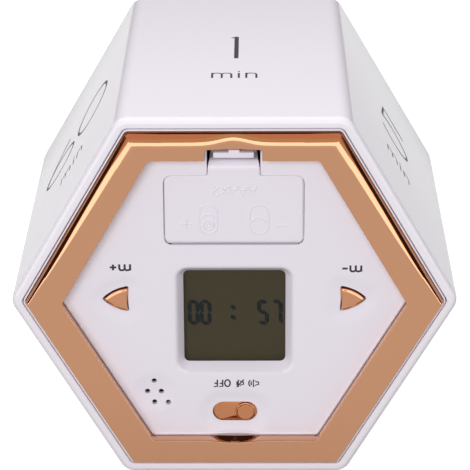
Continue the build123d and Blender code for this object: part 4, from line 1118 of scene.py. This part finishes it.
# Printing: thin ink, pale grey on the shell and violet grey on the panel. Each side face has its number of
# minutes with "min" at its foot, towards the display; the panel has m+, m-, OFF, the mute mark and the
# speaker mark, upside down.
print_zero, number_from_zero, word_from_zero = -34.875, 32.4, 21.3
stroke_wide, flag_wide, stem_wide, word_wide = 0.75, 0.45, 0.85, 0.4
digit_stretch, digit_gap = 1.27, 0.8
ink = finish("violet grey ink", tone(46, 37, 52), 0.45, patch=300, shift=0.03, grain=1500, relief=4e-7)
face_ink = finish("pale grey ink", tone(84, 76, 86), 0.45, patch=300, shift=0.03, grain=1500, relief=4e-7)


def on_face(angle, along, depth):
    """Lays ink on the side face whose outward direction is at that angle: its first axis runs to the
    reader's right, its second along the body away from the display, its third outwards."""
    a = radians(angle)

    def lay(u, v, w):
        u = u + along
        reach = shell_reach + w
        across, rise = u * sin(a) + reach * cos(a), reach * sin(a) - u * cos(a)
        return np.stack([across, print_zero + depth + v, middle + rise], -1)

    return lay


def curve(*points, reach):
    """A soft stroke through points: laid out in even steps and averaged over the reach. The run goes on
    past each end, turned about it, so that the ends are held."""
    step = 0.12
    laid = even_run(np.array(points, float), step, False)
    width = max(int(reach / step), 1)
    before = 2 * laid[0] - laid[1 : width + 1][::-1]
    after = 2 * laid[-1] - laid[-width - 1 : -1][::-1]
    return averaged(np.concatenate([before, laid, after]), width)


def numeral(digit):
    """The strokes of a digit 13 mm tall on centre lines, with its width and each stroke's own."""
    if digit == "0":
        return 9.9, [(arc(4.95, 6.5, 4.55, 6.2, 90, 451, 72), stroke_wide)]
    if digit == "1":
        flag = curve((0.1, 12.2), (1.1, 12.75), reach=0.1)
        return 1.6, [(line((1.1, 0.1), (1.1, 12.9)), stem_wide), (flag, flag_wide)]
    if digit == "3":
        upper, lower = arc(3.9, 9.6, 3.2, 3.1, 150, -80, 40), arc(3.9, 3.5, 3.9, 3.3, 82, -150, 48)
        return 8.4, [(upper, stroke_wide), (lower, stroke_wide)]
    if digit == "5":
        top, neck = line((8.0, 12.6), (1.6, 12.6)), curve((1.6, 12.6), (0.85, 7.1), reach=0.1)
        bowl = arc(4.1, 4.3, 4.4, 4.05, 138, -140, 56)
        return 9.0, [(np.concatenate([top, neck, bowl]), stroke_wide)]
    stem = curve((6.9, 12.9), (4.2, 10.6), (1.6, 7.4), (0.45, 4.1), reach=1.4)
    return 9.4, [(stem, stroke_wide), (arc(4.7, 4.2, 4.3, 3.95, 0, 361, 72), stroke_wide)]


def shoulder(x, wide, tall):
    """The arch of an m or n on its right stem, with soft corners."""
    brow = tall - 0.5
    return curve(
        (x, brow), (x + 0.4, tall), (x + wide - 0.4, tall), (x + wide, brow), (x + wide, 0), reach=0.3
    )


def minute_word():
    """The strokes of the word min, 8.7 mm wide: stems and soft shoulders, centred on its middle."""
    tall = 2.7
    m = [line((0.2, 0), (0.2, tall + 0.1)), shoulder(0.2, 1.8, tall), shoulder(2.0, 1.8, tall)]
    i = [line((5.2, 0), (5.2, tall)), line((5.2, 3.45), (5.2, 3.85))]
    n = [line((6.6, 0), (6.6, tall + 0.1)), shoulder(6.6, 1.9, tall)]
    return [stroke - (4.35, 0) for stroke in m + i + n]


minutes = {90: "1", 30: "5", -30: "10", -90: "15", 210: "30", 150: "60"}
for angle, number in minutes.items():
    stretches = [1.0 if digit == "1" else digit_stretch for digit in number]
    widths = [numeral(digit)[0] * stretch for digit, stretch in zip(number, stretches)]
    place = -(sum(widths) + digit_gap * (len(number) - 1)) / 2
    word_place = on_face(angle, 0, word_from_zero)
    bands = [ribbon(path, word_wide, word_place) for path in minute_word()]
    for digit, stretch, width in zip(number, stretches, widths):
        lay = on_face(angle, place, number_from_zero)
        bands += [ribbon(path * (stretch, 1), wide, lay) for path, wide in numeral(digit)[1]]
        place += width + digit_gap
    mark = piece("minutes_" + number, bands, face_ink)
    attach(mark, "housing")

m_letter = [line((0, 0), (0, 1.25))]
m_letter += [curve((0, 0.95), (0.25, 1.2), (0.8, 1.2), (1.0, 0.9), (1.0, 0), reach=0.15)]
m_letter += [curve((1.0, 0.95), (1.25, 1.2), (1.8, 1.2), (2.0, 0.9), (2.0, 0), reach=0.15)]
plus_mark = [line((2.55, 0.62), (3.75, 0.62)), line((3.15, 0.05), (3.15, 1.2))]
minus_mark = [line((2.5, 0.62), (3.5, 0.62))]
off = [arc(0.5, 0.72, 0.5, 0.7, 90, 451, 28)]
for x in (1.4, 2.4):
    off += [line((x, 0), (x, 1.42), (x + 0.65, 1.42)), line((x, 0.75), (x + 0.55, 0.75))]
horn = [line((0, 0.4), (0.4, 0.4), (0.95, -0.08), (0.95, 1.48), (0.4, 1.0), (0, 1.0), (0, 0.4))]
waves = [arc(0.95, 0.7, 0.45, 0.45, -50, 50, 12), arc(0.95, 0.7, 0.88, 0.85, -50, 50, 14)]
strike = [line((-0.1, -0.1), (1.25, 1.5)), line((1.2, 0.3), (1.2, 1.1))]
# Each mark: its name, its strokes, the place on the panel that they start from, and their width.
marks = [
    ("memory_plus", m_letter + plus_mark, -19.2, 6.75, 0.4),
    ("memory_minus", m_letter + minus_mark, 23.4, 6.45, 0.4),
    ("off_word", off, -0.9, -17.1, 0.3),
    ("mute_mark", horn + strike, 1.6, -17.15, 0.26),
    ("speaker_mark", horn + waves, 4.45, -17.15, 0.26),
]
for name, strokes, x, height, wide in marks:
    mark = piece("print_" + name, [ribbon(path, wide, on_panel(x, height)) for path in strokes], ink)
    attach(mark, "housing")

# Room: a plain pale floor that keeps the object's shadow, a white world, two soft lamps, and the camera at
# the photograph's place and angle. A wide dome in bands, for reflections alone, gives the plating its
# lights and darks.
def emitter(name, colour, seen, base=0.0):
    """A matt surface that glows with that strength for each kind of ray in the table, by the Light Path."""
    material = bpy.data.materials.new(name)
    material.use_nodes = True
    tree = material.node_tree
    shader = tree.nodes["Principled BSDF"]
    shader.inputs["Base Color"].default_value = (base, base, base, 1)
    shader.inputs["Roughness"].default_value = 0.9
    shader.inputs["Specular IOR Level"].default_value = 0.0
    shader.inputs["Emission Color"].default_value = (*colour, 1)
    path = tree.nodes.new("ShaderNodeLightPath")
    total = None
    for ray, strength in seen.items():
        part = tree.nodes.new("ShaderNodeMath")
        part.operation = "MULTIPLY_ADD"
        part.inputs[1].default_value = strength
        part.inputs[2].default_value = 0.0
        tree.links.new(path.outputs[ray], part.inputs[0])
        if total is not None:
            tree.links.new(total, part.inputs[2])
        total = part.outputs[0]
    tree.links.new(total, shader.inputs["Emission Strength"])
    return material


floor_edge = np.array([-3000.0, 3000.0])
floor_x, floor_y = np.meshgrid(floor_edge, floor_edge)
floor_grid = np.stack([floor_x, floor_y, 0 * floor_x - 0.05], -1)
pale = emitter("pale floor", (1, 1, 1), {"Is Camera Ray": 0.9, "Is Glossy Ray": 0.65}, 0.25)
piece("floor", [floor_grid], pale)


def dome_band(name, low, high, colour, strength, radius=900.0):
    """A band of a dome round the object, between two heights in degrees given over the angle from the
    front, the same on both sides and averaged over 10 degrees; only reflections see it."""
    angle = np.radians(np.linspace(-180, 180, 181))
    share = np.linspace(0, 1, 25)[:, None]
    round_turn = np.abs(np.degrees(np.linspace(angle[0] - radians(4), angle[-1] + radians(4), 185)))
    heights = [np.interp(round_turn, *np.array(table, float).T) for table in (low, high)]
    heights = [np.convolve(height, np.ones(5) / 5, "valid") for height in heights]
    climb = np.radians(heights[0] + (heights[1] - heights[0]) * share)
    level = radius * np.cos(climb)
    grid = np.stack([level * np.sin(angle), -level * np.cos(angle), middle + radius * np.sin(climb)], -1)
    band = piece(name, [grid], emitter(name, colour, {"Is Glossy Ray": strength}))
    band.visible_camera = band.visible_diffuse = False
    band.visible_transmission = band.visible_shadow = False


# The dome's bands from below: a white wall, a bright softbox over it in front, then a tan wall, a warm
# ceiling and a dark rear. Each table gives an edge's height over the angle from the front, in degrees.
low_edge = [(0, -3), (180, -3)]
soft_low = [(0, 14), (25, 11), (40, -1), (50, -3), (180, -3)]
soft_high = [(0, 34), (30, 27), (50, 18), (60, 12), (69, 9.5), (74, -3), (180, -3)]
tan_high = [(0, 53), (30, 44), (50, 30), (60, 15), (69, 10.5), (75, -3), (180, -3)]
warm_high = [(0, 66), (30, 58), (50, 44), (60, 22), (69, 12), (77, -3), (180, -3)]
dome_band("white wall", low_edge, soft_low, (1, 1, 1), 1.0)
dome_band("front softbox", soft_low, soft_high, (1, 1, 1), 2.5)
dome_band("tan wall", soft_high, tan_high, (0.98, 0.84, 0.62), 0.8)
dome_band("warm ceiling", tan_high, warm_high, (1, 0.61, 0.46), 0.82)
dome_band("dark rear", warm_high, [(0, 90), (180, 90)], (1, 0.5, 0.35), 0.045, 895.0)

# The world lights matt surfaces with a share of white, and is full white to camera, mirror and glass rays.
world = bpy.data.worlds.new("soft room")
bpy.context.scene.world = world
world.use_nodes = True
sky = world.node_tree
background = sky.nodes["Background"]
background.inputs["Color"].default_value = (1, 1, 1, 1)
path = sky.nodes.new("ShaderNodeLightPath")
seen = sky.nodes.new("ShaderNodeMath")
seen.operation = "MAXIMUM"
seen_through = sky.nodes.new("ShaderNodeMath")
seen_through.operation = "MAXIMUM"
level = sky.nodes.new("ShaderNodeMapRange")
level.inputs["To Min"].default_value = 0.34
level.inputs["To Max"].default_value = 1.0
sky.links.new(path.outputs["Is Camera Ray"], seen.inputs[0])
sky.links.new(path.outputs["Is Glossy Ray"], seen.inputs[1])
sky.links.new(seen.outputs[0], seen_through.inputs[0])
sky.links.new(path.outputs["Is Transmission Ray"], seen_through.inputs[1])
sky.links.new(seen_through.outputs[0], level.inputs["Value"])
sky.links.new(level.outputs["Result"], background.inputs["Strength"])


def lamp(name, place, aim, width, height, power):
    """A rectangular soft lamp at a place, facing a point, in metres; reflections do not see it."""
    light = bpy.data.lights.new(name, "AREA")
    light.shape = "RECTANGLE"
    light.size, light.size_y = width, height
    light.energy = power
    holder = bpy.data.objects.new(name, light)
    holder.location = place
    holder.rotation_mode = "QUATERNION"
    holder.rotation_quaternion = (Vector(aim) - Vector(place)).to_track_quat("-Z", "Y")
    holder.visible_glossy = False
    bpy.context.scene.collection.objects.link(holder)


lamp("overhead lamp", (0.0, 0.26, 0.85), (0, 0, 0.04), 1.0, 0.8, 5.7)
lamp("front lamp", (-0.25, -1.6, 0.65), (0, 0, 0.04), 1.2, 0.8, 20.5)

# The camera's place is in metres. It looks down by the tilt, turned by the yaw and leaning by the lean.
camera_x, camera_y, camera_z = 0.004053, -0.421554, 0.217132
yaw, tilt, lean = radians(-0.572), radians(23.47), radians(-0.318)
forward = Vector((sin(yaw) * cos(tilt), cos(yaw) * cos(tilt), -sin(tilt)))
right = Vector((cos(yaw), -sin(yaw), 0))
up = right.cross(forward)
across = cos(lean) * right + sin(lean) * up
upright = -sin(lean) * right + cos(lean) * up
lens = bpy.data.cameras.new("camera")
lens.lens = 176.98
lens.sensor_width = 36
lens.clip_start, lens.clip_end = 0.05, 20
camera = bpy.data.objects.new("camera", lens)
camera.matrix_world = Matrix((
    (across.x, upright.x, -forward.x, camera_x),
    (across.y, upright.y, -forward.y, camera_y),
    (across.z, upright.z, -forward.z, camera_z),
    (0, 0, 0, 1),
))
bpy.context.scene.collection.objects.link(camera)
bpy.context.scene.camera = camera
bpy.context.scene.view_settings.view_transform = "Standard"
